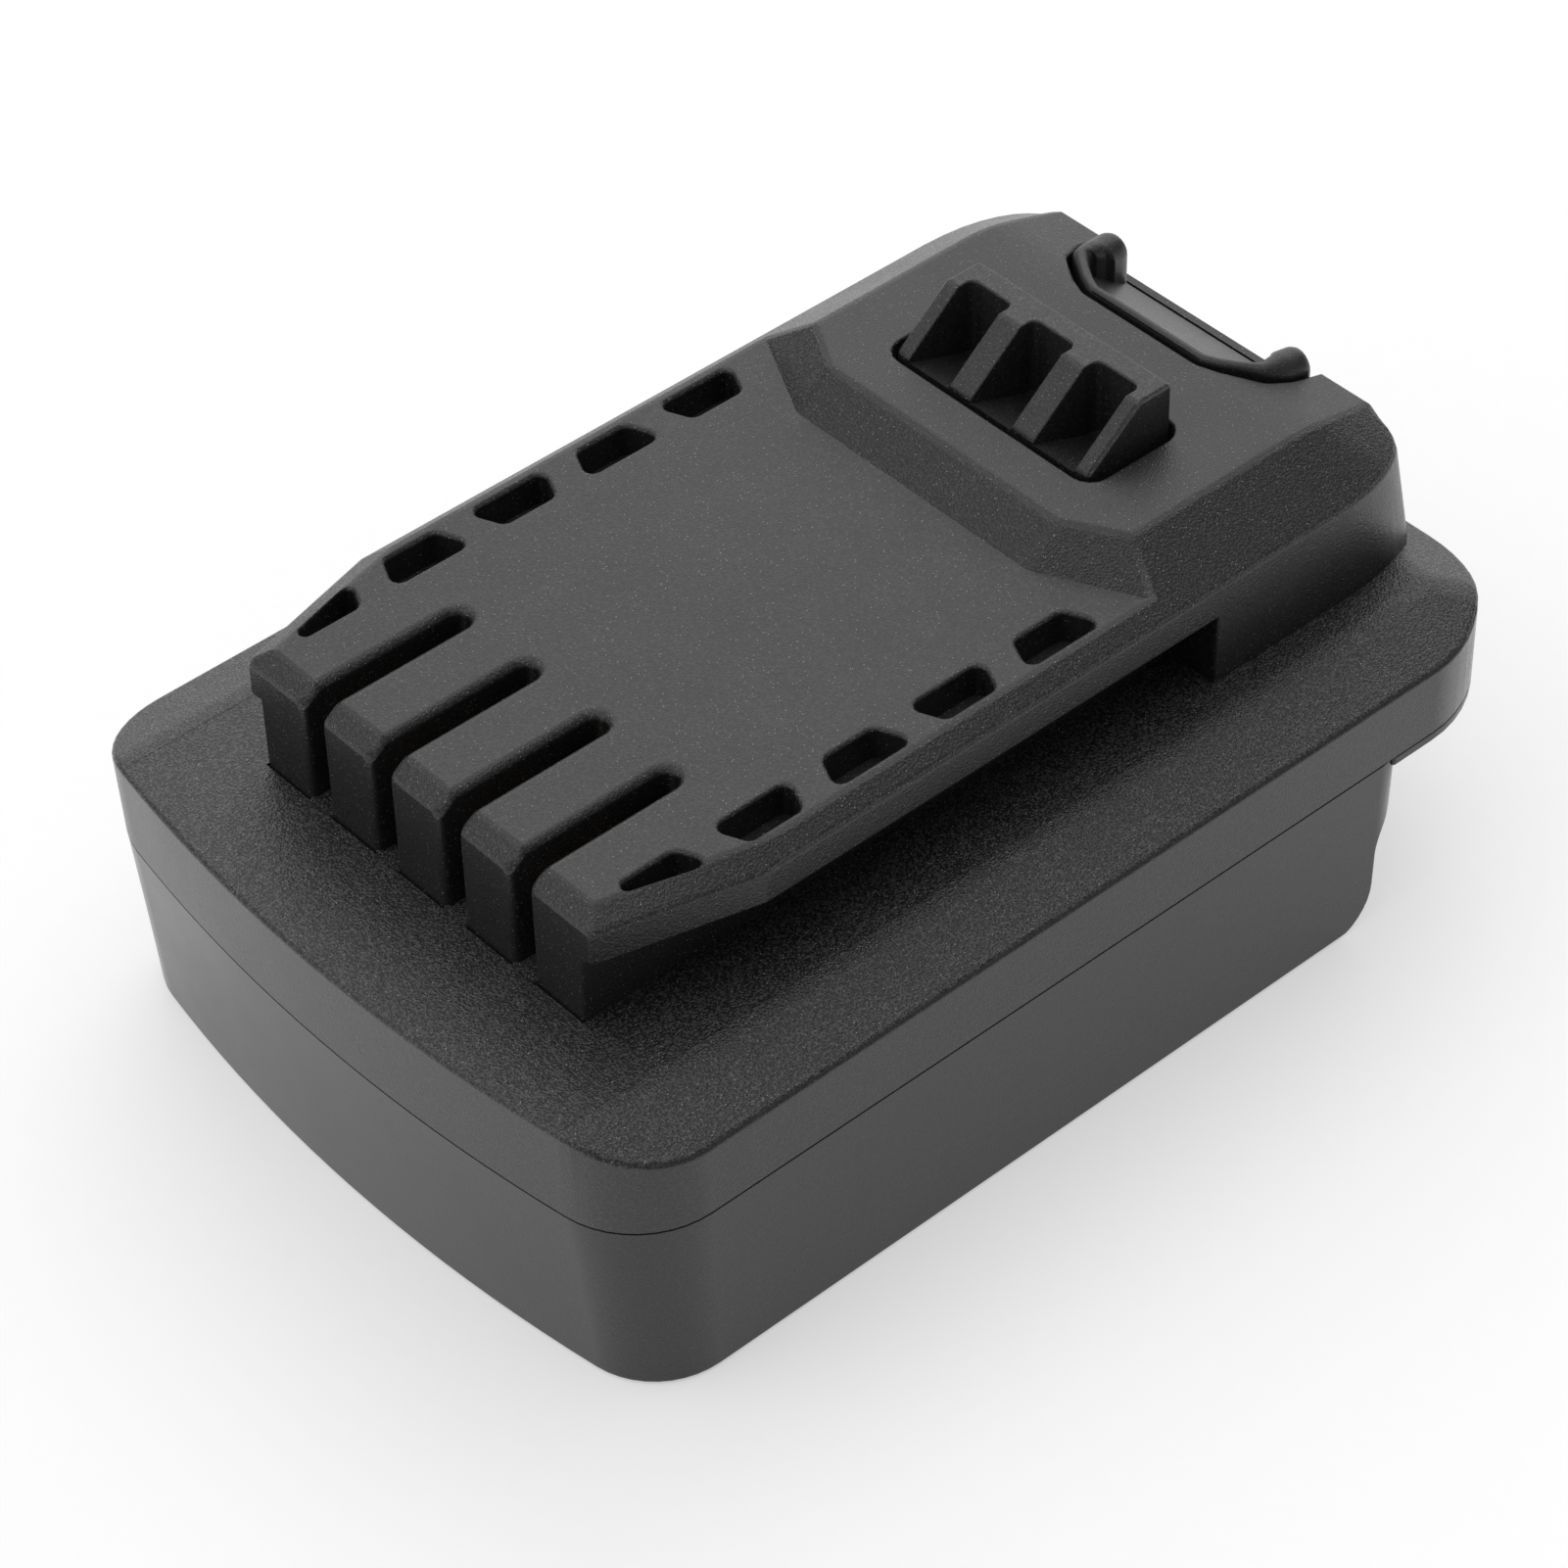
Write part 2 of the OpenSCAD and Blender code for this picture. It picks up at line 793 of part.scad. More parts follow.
module latch() {
    color(latch_colour)
        difference() {
            union() {
                across(latch_w / 2)
                    wedge_side_view();
                column(carriage_z, flange_z + flange_t)
                    round_slot_plan(latch_front_x - 1.4, latch_rear_x - latch_front_x + 3.2,
                        flange_half_w, 1.5);
                column(carriage_z, carriage_top_z)
                    translate([latch_front_x, -carriage_half_w])
                        square([carriage_rear_x - latch_front_x, 2 * carriage_half_w]);
                for (s = [-1, 1])
                    translate([spring_x, s * spring_y, carriage_z - spigot_h])
                        cylinder(h = spigot_h + eps, r = spring_post_r);
            }
            for (i = [0:pocket_count - 1])
                column(block_z - 0.6, latch_z + 1)
                    translate([0, (i - 1) * pocket_pitch])
                        round_slot_plan(latch_front_x - 3, latch_rear_x - pocket_back - latch_front_x + 3,
                            pocket_w / 2, 0.8);
            for (s = [-1, 1])
                translate([button_peg_x, s * button_peg_y, carriage_z - 1])
                    cylinder(h = carriage_t + 2, r = button_peg_r + fit);
        }
}

// Finger scoop: wide at the top, falling away to the sill at the rear
module scoop() {
    hull() {
        slice(button_top_z + 1)
            mirrored_plan([
                [button_x + button_rim, 0.547 * button_half_w],
                [button_x + 0.465 * button_l, 0.82 * button_half_w],
                [button_rear_x + 1, 0.885 * button_half_w]
            ]);
        slice(sill_z)
            translate([button_rear_x - button_rise, -0.475 * button_half_w])
                square([button_rise + 1, 0.95 * button_half_w]);
    }
}

module release_button() {
    color(latch_colour)
        difference() {
            union() {
                intersection() {
                    column(carriage_top_z, button_top_z + 1)
                        button_plan(0, button_rear_x);
                    across(half_w)
                        polygon([
                            [button_x - 1, carriage_top_z - 1], [button_rear_x + 1, carriage_top_z - 1],
                            [button_rear_x + 1, button_ear_z], [button_x + button_rim, button_top_z],
                            [button_x - 1, button_top_z]
                        ]);
                }
                for (s = [-1, 1])
                    translate([button_peg_x, s * button_peg_y, carriage_z])
                        cylinder(h = carriage_t + eps, r = button_peg_r);
            }
            scoop();
        }
}

// Return springs

// Height and angle along a spring, with flat closed ends half a turn long
spring_h = carriage_z - seam_z;
spring_rings = 8 * spring_turns;
spring_rise = spring_h - spring_wire;
spring_sides = 6;
function spring_z(t) = seam_z + spring_wire / 2 + spring_rise * t;
function spring_ring(i) = let(
        t = i / spring_rings,
        a = 360 * spring_turns * t,
        pitch_a = atan(spring_rise / (spring_turns * 2 * PI * spring_r))
    ) [for (k = [0:spring_sides - 1])
        let(
            b = 360 * k / spring_sides,
            out = spring_wire / 2 * cos(b),
            up = spring_wire / 2 * sin(b)
        ) [
            (spring_r + out) * cos(a) + up * sin(pitch_a) * sin(a),
            (spring_r + out) * sin(a) - up * sin(pitch_a) * cos(a),
            spring_z(t) + up * cos(pitch_a)
        ]];

// Closed tube through a list of rings
module tube(rings) {
    n = len(rings[0]);
    last = len(rings) - 1;
    points = [for (ring = rings) for (p = ring) p];
    walls = [for (i = [0:last - 1]) for (k = [0:n - 1])
        let(a = i * n + k, b = i * n + (k + 1) % n)
        each [[a, a + n, b], [b, a + n, b + n]]];
    caps = [for (k = [1:n - 2]) each [[0, k, k + 1], [last * n, last * n + k + 1, last * n + k]]];
    polyhedron(points, concat(walls, caps));
}

echo(least_gap_in_a_spring = spring_rise / spring_turns - spring_wire);

module latch_spring(side) {
    color(spring_colour)
        translate([spring_x, side * spring_y, 0])
            tube([for (i = [0:spring_rings]) spring_ring(i)]);
}

module latch_spring_left() {
    latch_spring(1);
}

module latch_spring_right() {
    latch_spring(-1);
}

// Tool contacts

module contact_pocket(i) {
    translate([contact_x - fit, slot_y(i) - contact_base_w / 2, contact_base_z])
        cube([carrier_l, contact_base_w, carrier_top_z]);
}

module contact_carrier() {
    color([0.16, 0.16, 0.17])
        difference() {
            translate([carrier_x, -carrier_half_w, seam_z])
                cube([carrier_l, 2 * carrier_half_w, carrier_top_z - seam_z]);
            for (i = [0:3])
                contact_pocket(i);
        }
}

// Fork of two leaves on a base block, with a tail that lies on the board
module tool_contact(i) {
    leaf_y = contact_leaf_gap / 2;
    leaf_z = contact_base_z + contact_base_h;
    color(brass_colour)
        translate([0, slot_y(i), 0]) {
            translate([contact_x, -contact_base_w / 2, contact_base_z])
                cube([contact_l, contact_base_w, contact_base_h]);
            for (y = [-leaf_y - contact_leaf_t, leaf_y])
                translate([contact_x, y, leaf_z - eps])
                    cube([contact_l, contact_leaf_t, contact_leaf_h]);
            translate([contact_x + contact_l - eps, -contact_tail_w / 2, board_top_z])
                cube([contact_tail_end_x - contact_x - contact_l, contact_tail_w, contact_tail_t]);
        }
}

module tool_contact_1() {
    tool_contact(0);
}

module tool_contact_2() {
    tool_contact(1);
}

module tool_contact_3() {
    tool_contact(2);
}

module tool_contact_4() {
    tool_contact(3);
}

// Circuit board and what is on it

module circuit_board() {
    color(board_colour)
        difference() {
            translate([board_x, -board_half_w, board_z])
                cube([board_l, 2 * board_half_w, board_t]);
            for (s = [-1, 1])
                translate([board_screw_x, s * board_screw_y, board_z - 1])
                    cylinder(h = board_t + 2, r = clear_r);
        }
}

module control_chip() {
    chip = [7, 7, 1.2];
    color([0.05, 0.05, 0.05])
        translate([board_x + 0.55 * board_l, -chip[1] / 2, board_top_z])
            cube(chip);
}

// Transistor lying on the board with its metal tab
module transistor(side) {
    color([0.08, 0.08, 0.09])
        translate([board_x + 0.36 * board_l, side * transistor_y - 3.3, board_top_z]) {
            cube([6, 6.6, 2.3]);
            translate([6 - eps, 0.6, 0])
                cube([1.6, 5.4, 1.2]);
        }
}

module transistor_left() {
    transistor(1);
}

module transistor_right() {
    transistor(-1);
}

module capacitor() {
    color([0.12, 0.14, 0.22])
        translate([board_x + 0.9 * board_l, 0, board_top_z])
            cylinder(h = capacitor_h, r = capacitor_r);
}

// Battery terminals

module battery_terminal_block() {
    color([0.13, 0.13, 0.14])
        difference() {
            translate([block_front_x, -terminal_half_w, terminal_base_z])
                cube([terminal_l, 2 * terminal_half_w, roof_z - terminal_base_z]);
            for (s = [-1, 1]) {
                translate([0, s * blade_pitch / 2, 0])
                    blade_shape();
                translate([terminal_screw_x, s * terminal_screw_y, roof_z - terminal_screw_l + roof_t])
                    cylinder(h = terminal_screw_l, r = screw_r + fit);
            }
        }
}

// Blade with a root in the block and a tab that goes up through the roof
module blade_shape() {
    translate([blade_root_x, -blade_t / 2, blade_z])
        cube([terminal_l + blade_reach - blade_root_inset, blade_t, blade_h]);
    translate([blade_root_x, -blade_t / 2, blade_z])
        cube([blade_tab_l, blade_t, blade_tab_z - blade_z]);
}

module positive_blade() {
    color(brass_colour)
        translate([0, blade_pitch / 2, 0])
            blade_shape();
}

module negative_blade() {
    color(brass_colour)
        translate([0, -blade_pitch / 2, 0])
            blade_shape();
}

// Ring of a wire at one point of its route, square to the way that the wire runs there
function unit(v) = v / norm(v);
function route_way(i) = unit(
    wire_route[min(i + 1, len(wire_route) - 1)] - wire_route[max(i - 1, 0)]);
function wire_ring(i) = let(
        way = i == 0 ? [0, 1, 0] : route_way(i),
        side = unit(cross(way, [0, 0, 1])),
        up = cross(side, way)
    ) [for (k = [0:wire_sides - 1])
        wire_route[i] + wire_d / 2 * (cos(360 * k / wire_sides) * side + sin(360 * k / wire_sides) * up)];

module power_wire() {
    tube([for (i = [0:len(wire_route) - 1]) wire_ring(i)]);
}

module positive_wire() {
    color([0.65, 0.06, 0.05])
        power_wire();
}

module negative_wire() {
    color([0.05, 0.05, 0.06])
        mirror([0, 1, 0])
            power_wire();
}

// Screws

// Screw with its head below and its shank pointing up
module screw_up(length) {
    difference() {
        union() {
            cylinder(h = head_h, r = head_r);
            translate([0, 0, head_h - eps])
                cylinder(h = length - head_h, r = screw_r);
        }
        cross_recess();
    }
}

module cross_recess() {
    for (a = [0, 90])
        rotate([0, 0, a])
            translate([-1.4, -0.3, -eps])
                cube([2.8, 0.6, 0.9]);
}

module shell_screws() {
    color(steel_colour)
        for (s = [-1, 1])
            for (x = shell_screw_xs)
                translate([x, s * shell_screw_y, roof_z])
                    screw_up(shell_screw_l);
}

module lip_plate_screws() {
    color(steel_colour)
        for (s = [-1, 1])
            translate([lip_screw_x, s * lip_screw_y, lip_z - head_h])
                screw_up(lip_screw_l);
}

module board_screws() {
    color(steel_colour)
        for (s = [-1, 1])
            translate([board_screw_x, s * board_screw_y, board_top_z + head_h])
                mirror([0, 0, 1])
                    screw_up(board_screw_l);
}

module terminal_block_screws() {
    color(steel_colour)
        for (s = [-1, 1])
            translate([terminal_screw_x, s * terminal_screw_y, seam_z + head_h])
                mirror([0, 0, 1])
                    screw_up(terminal_screw_l);
}

upper_shell();
lower_shell();
rear_lip_plate();
latch();
release_button();
latch_spring_left();
latch_spring_right();
contact_carrier();
tool_contact_1();
tool_contact_2();
tool_contact_3();
tool_contact_4();
circuit_board();
control_chip();
transistor_left();
transistor_right();
capacitor();
battery_terminal_block();
positive_blade();
negative_blade();
positive_wire();
negative_wire();
shell_screws();
board_screws();
terminal_block_screws();
lip_plate_screws();
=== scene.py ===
"""Looks of a battery adapter for a cordless tool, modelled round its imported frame."""
from math import acos, asin, atan2, cos, degrees, pi, radians, sin, sqrt, tan

import bmesh
import bpy
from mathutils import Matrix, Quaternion, Vector


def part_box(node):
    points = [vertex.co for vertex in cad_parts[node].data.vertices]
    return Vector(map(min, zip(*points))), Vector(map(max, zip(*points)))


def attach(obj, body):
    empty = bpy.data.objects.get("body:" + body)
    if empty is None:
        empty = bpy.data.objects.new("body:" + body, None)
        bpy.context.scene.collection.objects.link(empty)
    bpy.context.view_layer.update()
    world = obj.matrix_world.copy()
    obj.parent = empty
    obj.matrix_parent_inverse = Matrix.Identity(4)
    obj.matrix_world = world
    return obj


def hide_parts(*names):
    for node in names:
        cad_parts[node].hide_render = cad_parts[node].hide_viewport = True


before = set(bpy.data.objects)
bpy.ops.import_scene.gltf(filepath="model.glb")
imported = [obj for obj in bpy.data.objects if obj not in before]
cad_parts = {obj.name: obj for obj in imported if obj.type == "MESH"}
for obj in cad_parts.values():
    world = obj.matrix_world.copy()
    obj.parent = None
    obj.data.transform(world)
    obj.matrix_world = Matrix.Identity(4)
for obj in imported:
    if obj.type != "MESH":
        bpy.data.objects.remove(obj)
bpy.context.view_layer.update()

# Shapes are worked in millimetres, with the sizes of the part's source, and brought to metres at the end.
MM = 0.001
MERGE = 0.002
NEARLY_FLAT = 5

# Levels, from the seam up to the latch, and the hollows below them
SEAM_Z, DECK_Z, PLATE_Z, SHOULDER_Z, FOOT_Z, BLOCK_Z, LATCH_Z = 20.4, 30.5, 37.9, 41.6, 42.9, 46.2, 51.3
CEILING_Z, BLOCK_CEILING_Z, ROOF_Z, LIP_Z, SILL_Z = 27.9, 43.8, 17.6, 19.2, 40.4

# Housing, with its bowed front that leans back above the seam
HALF_W, FRONT_X, REAR_X, BOW_R, FRONT_R, REAR_R = 38.0, -56.35, 56.35, 185.0, 9.5, 13.4
FRONT_PART_X, FRONT_LEAN = -20, 0.4
BAND_W, BAND_DROP, CREASE_R, CREASE_STEPS = 6.9, 2.4, 8.0, 5
WALL, HOLLOW_FRONT_R, HOLLOW_REAR_R, HOLLOW_REAR = 2.4, 7.1, 11.0, REAR_X - 10
SEAM_R = 0.06

# Slide foot and the block behind its ramp
FOOT_X, FOOT_HALF, STEM_HALF, TAPER_X, TAPER_RUN = -43.85, 27.4, 21.85, -28.35, 3.0
NOSE_HALF, NOSE_LOW_HALF, NOSE_TOP_HALF = 23.3, 21.45, 21.6
FOOT_CHAMFER, EDGE_ROUND, FOOT_GAP, FOOT_GAP_DEPTH = 1.85, 0.36, 0.16, 0.4
RAMP_X, RAMP_HALF = 13.15, 15.2
CREST_HALF, SLOPE_HALF = RAMP_HALF - 0.3, RAMP_HALF - 0.6
WING_BACK, CREST_BACK, CREST_WING_BACK = 5.3, 3.9, 7.3
STOP_X, TOP_HALF, LEAN, BLOCK_REAR, BLOCK_HOLLOW_X = 24.85, 20.85, 0.21, 39, 20.45
SLOPE_EDGE = [
    (39.9, 20.85, 46.2), (41.2, 20.85, 46.14), (42.6, 20.83, 46.0),
    (44.0, 20.74, 45.74), (45.4, 20.64, 45.41), (47.4, 20.5, 44.89),
    (49.2, 20.37, 44.42), (50.6, 20.27, 44.05), (51.55, 20.2, 43.8),
]
REAR_CORNER = [
    (40.0, 27.4), (42.4, 27.28), (44.6, 27.0), (46.6, 26.52), (48.3, 25.9),
    (49.8, 25.1), (50.9, 24.2), (51.6, 23.2), (52.0, 22.0),
]

# Contact slots, vents and the latch's hole
SLOT_YS = (-14.01, -4.67, 4.67, 14.01)
SLOT_HALF, SLOT_END, SLOT_FRONT_R, SLOT_RIM_R, SLOT_PIT_FLOOR = 1.15, -26.45, 0.85, 0.95, 0.6
SILL_DEPTH, SILL_NOSE, SILL_RISE, SILL_HALF, SILL_R = 3.2, 0.3, 0.25, 1.7, 0.6
CONTACT_FRONT, CONTACT_REAR = -40.35, -28.35
VENTS, VENT_X, VENT_PITCH, VENT_IN, VENT_OUT, VENT_DEPTH = 5, -35.75, 11.13, 21.2, 24.6, 3.4
VENT_SHORT, VENT_LONG, VENT_RIM_R = 2.85, 4.35, 0.5
HOLE, HOLE_R, HOLE_RIM_R = (22.35, 34.15, 13.55), 2.0, 0.3

# Lower shell with the battery's socket, and the lip plate behind it
SKIRT_HALF, SKIRT_FRONT, SKIRT_REAR, OPEN_END, BASE_HALF = 37.8, -55.55, 40.55, 36.75, 37.4
SKIRT_FRONT_R, SKIRT_REAR_R, SKIRT_LEAN, SKIRT_FOOT_R, SEAM_GAP = 8.3, 4.2, 1.25, 0.6, 0.15
SEAM_OUT_SIDE, SEAM_OUT_FRONT, SEAM_OUT_R = 0.18, 0.38, 1.2
SOCKET_FRONT, SOCKET_HALF, SOCKET_R, SOCKET_RIM_R = -51.3, 34.4, 5.3, 0.5
RAIL_HALF, RAIL_ROOT, RAIL_LOW, RAIL_HIGH, RAIL_REAR, RAIL_ROUND = 29.9, 35.2, 2.5, 5.5, OPEN_END - 0.9, 0.3
LIP_FRONT, LIP_TOP_ROUND, LIP_ROUND, CATCH = 37.85, 0.28, 0.35, (43.55, 48.55, 13, 1)
BLADE_WAY, BLADE_Y = (-46.1, -42.7, 0.6), 11.5

# Screws, posts and pegs
SCREW_R, CLEAR_R, HEAD_R, HEAD_DEPTH, BOSS_R = 1.45, 1.7, 2.9, 1.6, 3.2
SHELL_SCREWS = [(x, y) for x in (-46.85, 14.35) for y in (-27.0, 27.0)]
LIP_SCREWS = [(46.35, -28.0), (46.35, 28.0)]
BOARD_SCREWS = [(4.55, -13.0), (4.55, 13.0)]
BOARD_POSTS = [(-17.05, -13.0), (-17.05, 13.0)] + BOARD_SCREWS
BOARD_POST_R, BOARD_POST_RISE = 2.6, 2
BLOCK_SCREW_X, BLOCK_SCREW_Y = -45.1, 4.5
SPRINGS = [(34.05, -8.0), (34.05, 8.0)]
SPRING_POST_R, SPRING_POST_RISE = 1.95, 6.2
PEGS = [(44.95, -5), (44.95, 5)]
PEG_R, PEG_HOLE_R = 1.5, 1.55

# Release button and latch, on one carriage
BUTTON_REAR, BUTTON_PLAY, BUTTON_SHAFT_REAR, NOTCH_RIM_R = 50.95, 0.4, 51.45, 0.35
CARRIAGE_LOW, CARRIAGE_Z, CARRIAGE_REAR, CARRIAGE_HALF = 35.5, 38.0, 50.45, 11.5
BEAD_R, BEAD_Z, EAR_R, EAR_Z, EAR_ROUND, EAR_SHRINK = 0.58, 46.4, 1.8, 46.0, 1.2, 0.75
EAR_START, EAR_FULL, EAR_FALL = 44.0, 48.5, 46.0
SCOOP_FRONT, RIDGE_STEP, RIDGE_STEPS, RIDGE_ROOT = 43.1, 0.5, 12, CARRIAGE_Z + 0.3
LATCH_FRONT, LATCH_REAR, LATCH_HALF, LATCH_TOP, LATCH_LOW = 23.05, 33.45, 12.55, 29.25, 41
LATCH_ROUND, FLANGE, FLANGE_TOP, SPIGOT_LOW = 0.42, (21.65, 34.85, 14.55, 1.5), 43.4, 33.1
POCKET_YS, POCKET_HALF, POCKET_REAR, POCKET_R, POCKET_RIM_R = (-8.2, 0, 8.2), 2.65, 31.05, 0.8, 0.25
POCKET_DROP, POCKET_FALL = 0.3, 0.38


# Hand tools

def named(name):
    piece = bpy.context.object
    piece.name = name
    piece.data.name = name
    return piece


def edit(piece, mode="VERT"):
    """Opens a piece in edit mode, with nothing else selected."""
    if bpy.context.object and bpy.context.object.mode != "OBJECT":
        bpy.ops.object.mode_set(mode="OBJECT")
    bpy.ops.object.select_all(action="DESELECT")
    bpy.context.view_layer.objects.active = piece
    piece.select_set(True)
    bpy.ops.object.mode_set(mode="EDIT")
    bpy.ops.mesh.select_mode(type=mode)
    return bmesh.from_edit_mesh(piece.data)


def close_edit():
    bpy.ops.object.mode_set(mode="OBJECT")


def tidy_mesh(piece):
    """Merges doubles, drops faces with no area and turns all faces outwards."""
    edit(piece)
    bpy.ops.mesh.select_all(action="SELECT")
    bpy.ops.mesh.remove_doubles(threshold=MERGE)
    bpy.ops.mesh.dissolve_degenerate(threshold=MERGE)
    bpy.ops.mesh.select_all(action="SELECT")
    bpy.ops.mesh.normals_make_consistent(inside=False)
    close_edit()


def apply(piece, kind, **settings):
    """Adds a modifier and applies it."""
    bpy.ops.object.select_all(action="DESELECT")
    bpy.context.view_layer.objects.active = piece
    piece.select_set(True)
    modifier = piece.modifiers.new(kind.title(), kind)
    for key, value in settings.items():
        setattr(modifier, key, value)
    bpy.ops.object.modifier_apply(modifier=modifier.name)
    return piece


def arc(cx, cy, r, start, end, steps):
    turns = [radians(start + (end - start) * i / steps) for i in range(steps + 1)]
    return [(cx + r * cos(t), cy + r * sin(t)) for t in turns]


def rounded(corners, steps=4):
    """Outline through (x, y, radius) corners, each turned on its radius."""
    outline = []
    for i, (x, y, r) in enumerate(corners):
        here = Vector((x, y))
        if r == 0:
            outline.append((x, y))
            continue
        back = (Vector(corners[i - 1][:2]) - here).normalized()
        on = (Vector(corners[(i + 1) % len(corners)][:2]) - here).normalized()
        half = acos(back.dot(on)) / 2
        centre = here + (back + on).normalized() * (r / sin(half))
        start = here + back * (r / tan(half)) - centre
        end = here + on * (r / tan(half)) - centre
        first = atan2(start.y, start.x)
        sweep = (atan2(end.y, end.x) - first + pi) % (2 * pi) - pi
        for k in range(steps + 1):
            turn = first + sweep * k / steps
            outline.append((centre.x + r * cos(turn), centre.y + r * sin(turn)))
    return outline


def disc(x, y, r, steps=20):
    return arc(x, y, r, 0, 360, steps)[:-1]


def box_outline(x0, x1, half, r=0.0, y=0.0):
    return rounded([(x0, y - half, r), (x1, y - half, r), (x1, y + half, r), (x0, y + half, r)])


def mirrored(side):
    """Closes an outline that is given on the left side, from the front to the rear."""
    return side + [(x, -y) for x, y in reversed(side) if abs(y) > 1e-6]


def housing_outline(half, front, rear, front_r, rear_r):
    """Bowed front, straight sides and round corners that run on smoothly."""
    bow_x = front + BOW_R
    corner_y = half - front_r
    corner_x = bow_x - sqrt((BOW_R - front_r) ** 2 - corner_y ** 2)
    turn = degrees(asin(corner_y / (BOW_R - front_r)))
    side = arc(bow_x, 0, BOW_R, 180, 180 - turn, 10)[:-1]
    side += arc(corner_x, corner_y, front_r, 180 - turn, 90, 10)
    side += arc(rear - rear_r, half - rear_r, rear_r, 90, 0, 12)
    return mirrored(side)


def pull(name, corners, step):
    """A flat face from a filled circle with its corners put in place, drawn out by a step."""
    bpy.ops.object.select_all(action="DESELECT")
    bpy.ops.mesh.primitive_circle_add(vertices=len(corners), fill_type="NGON")
    piece = named(name)
    for vert, corner in zip(piece.data.vertices, corners):
        vert.co = corner
    edit(piece)
    bpy.ops.mesh.select_all(action="SELECT")
    bpy.ops.mesh.extrude_region_move(TRANSFORM_OT_translate={"value": step})
    bpy.ops.mesh.select_all(action="SELECT")
    bpy.ops.mesh.normals_make_consistent(inside=False)
    close_edit()
    return piece


def upright(name, outline, z0, z1):
    return pull(name, [(x, y, z0) for x, y in outline], (0, 0, z1 - z0))


def crosswise(name, profile, half):
    """A side view in X and Z, drawn out across the width."""
    return pull(name, [(x, -half, z) for x, z in profile], (0, 2 * half, 0))


def loft(name, rows):
    """A grid whose rows of points are put in place one by one."""
    bpy.ops.object.select_all(action="DESELECT")
    bpy.ops.mesh.primitive_grid_add(x_subdivisions=len(rows[0]) - 1, y_subdivisions=len(rows) - 1)
    piece = named(name)
    for vert, place in zip(piece.data.vertices, [p for row in rows for p in row]):
        vert.co = place
    return piece


def grown(outline, by):
    """An outline moved outwards by a distance, point by point."""
    area = sum(x0 * y1 - x1 * y0 for (x0, y0), (x1, y1) in zip(outline, outline[1:] + outline[:1]))
    sign = 1 if area > 0 else -1
    moved = []
    for i, here in enumerate(outline):
        here = Vector(here)
        back = (here - Vector(outline[i - 1])).normalized()
        on = (Vector(outline[(i + 1) % len(outline)]) - here).normalized()
        out = Vector((back.y + on.y, -back.x - on.x)).normalized() * sign
        stretch = max(0.4, sqrt(max(0.0, (1 + back.dot(on)) / 2)))
        moved.append(tuple(here + out * by / stretch))
    return moved


def cap_open_ends(piece):
    """Closes each open loop with a face."""
    most_loops = 8
    for _ in range(most_loops):
        mesh = edit(piece, "EDGE")
        start = next((e for e in mesh.edges if e.is_boundary), None)
        if start is None:
            break
        bpy.ops.mesh.select_all(action="DESELECT")
        loop, ring = {start}, [start]
        while ring:
            edge = ring.pop()
            for vert in edge.verts:
                for other in vert.link_edges:
                    if other.is_boundary and other not in loop:
                        loop.add(other)
                        ring.append(other)
        for edge in loop:
            edge.select_set(True)
        bmesh.update_edit_mesh(piece.data)
        bpy.ops.mesh.edge_face_add()
        close_edit()
    if bpy.context.object.mode != "OBJECT":
        close_edit()


def stacked(name, rings):
    """A closed form through rings of points, one above the other."""
    piece = loft(name, [ring + ring[:1] for ring in rings])
    tidy_mesh(piece)
    cap_open_ends(piece)
    tidy_mesh(piece)
    return piece


def flared(name, opened, z0, rim, r, steps=4, way=1):
    """A cutter that opens out at its rim, so that the cut gets a round edge there.

    The outline is a rule of how far it has opened, and the heights of rim and floor are rules of X.
    The rim is on top, or below where the way is -1."""
    rings = [[(x, y, z0(x) if callable(z0) else z0) for x, y in opened(0)]]
    for k in range(steps + 1):
        turn = pi / 2 * k / steps
        wide, deep = r * (1 - cos(turn)), r * (1 - sin(turn))
        rings.append([(x, y, rim(x) - way * deep) for x, y in opened(wide)])
    past_rim, spare = 1.5, 0.02
    rings.append([(x, y, rim(x) + way * past_rim) for x, y in opened(r + spare)])
    return stacked(name, rings)


def join_in(piece, other, folded=False):
    """Unites two pieces; the other may be folded into itself."""
    apply(piece, "BOOLEAN", object=other, operation="UNION", solver="EXACT", use_self=folded)
    bpy.data.objects.remove(other)


def cut(piece, *cutters):
    for cutter in cutters:
        apply(piece, "BOOLEAN", object=cutter, operation="DIFFERENCE", solver="EXACT")
        bpy.data.objects.remove(cutter)


def shave(piece, point, normal):
    """Takes off what lies outside a plane and closes the cut."""
    edit(piece)
    bpy.ops.mesh.select_all(action="SELECT")
    bpy.ops.mesh.bisect(plane_co=point, plane_no=Vector(normal).normalized(), use_fill=True,
                        clear_outer=True, threshold=1e-5)
    close_edit()


def flatten(piece):
    """Joins faces that lie in one plane, so that edges are the real ones."""
    tidy_mesh(piece)
    edit(piece)
    bpy.ops.mesh.select_all(action="SELECT")
    bpy.ops.mesh.dissolve_limited(angle_limit=radians(0.3))
    close_edit()


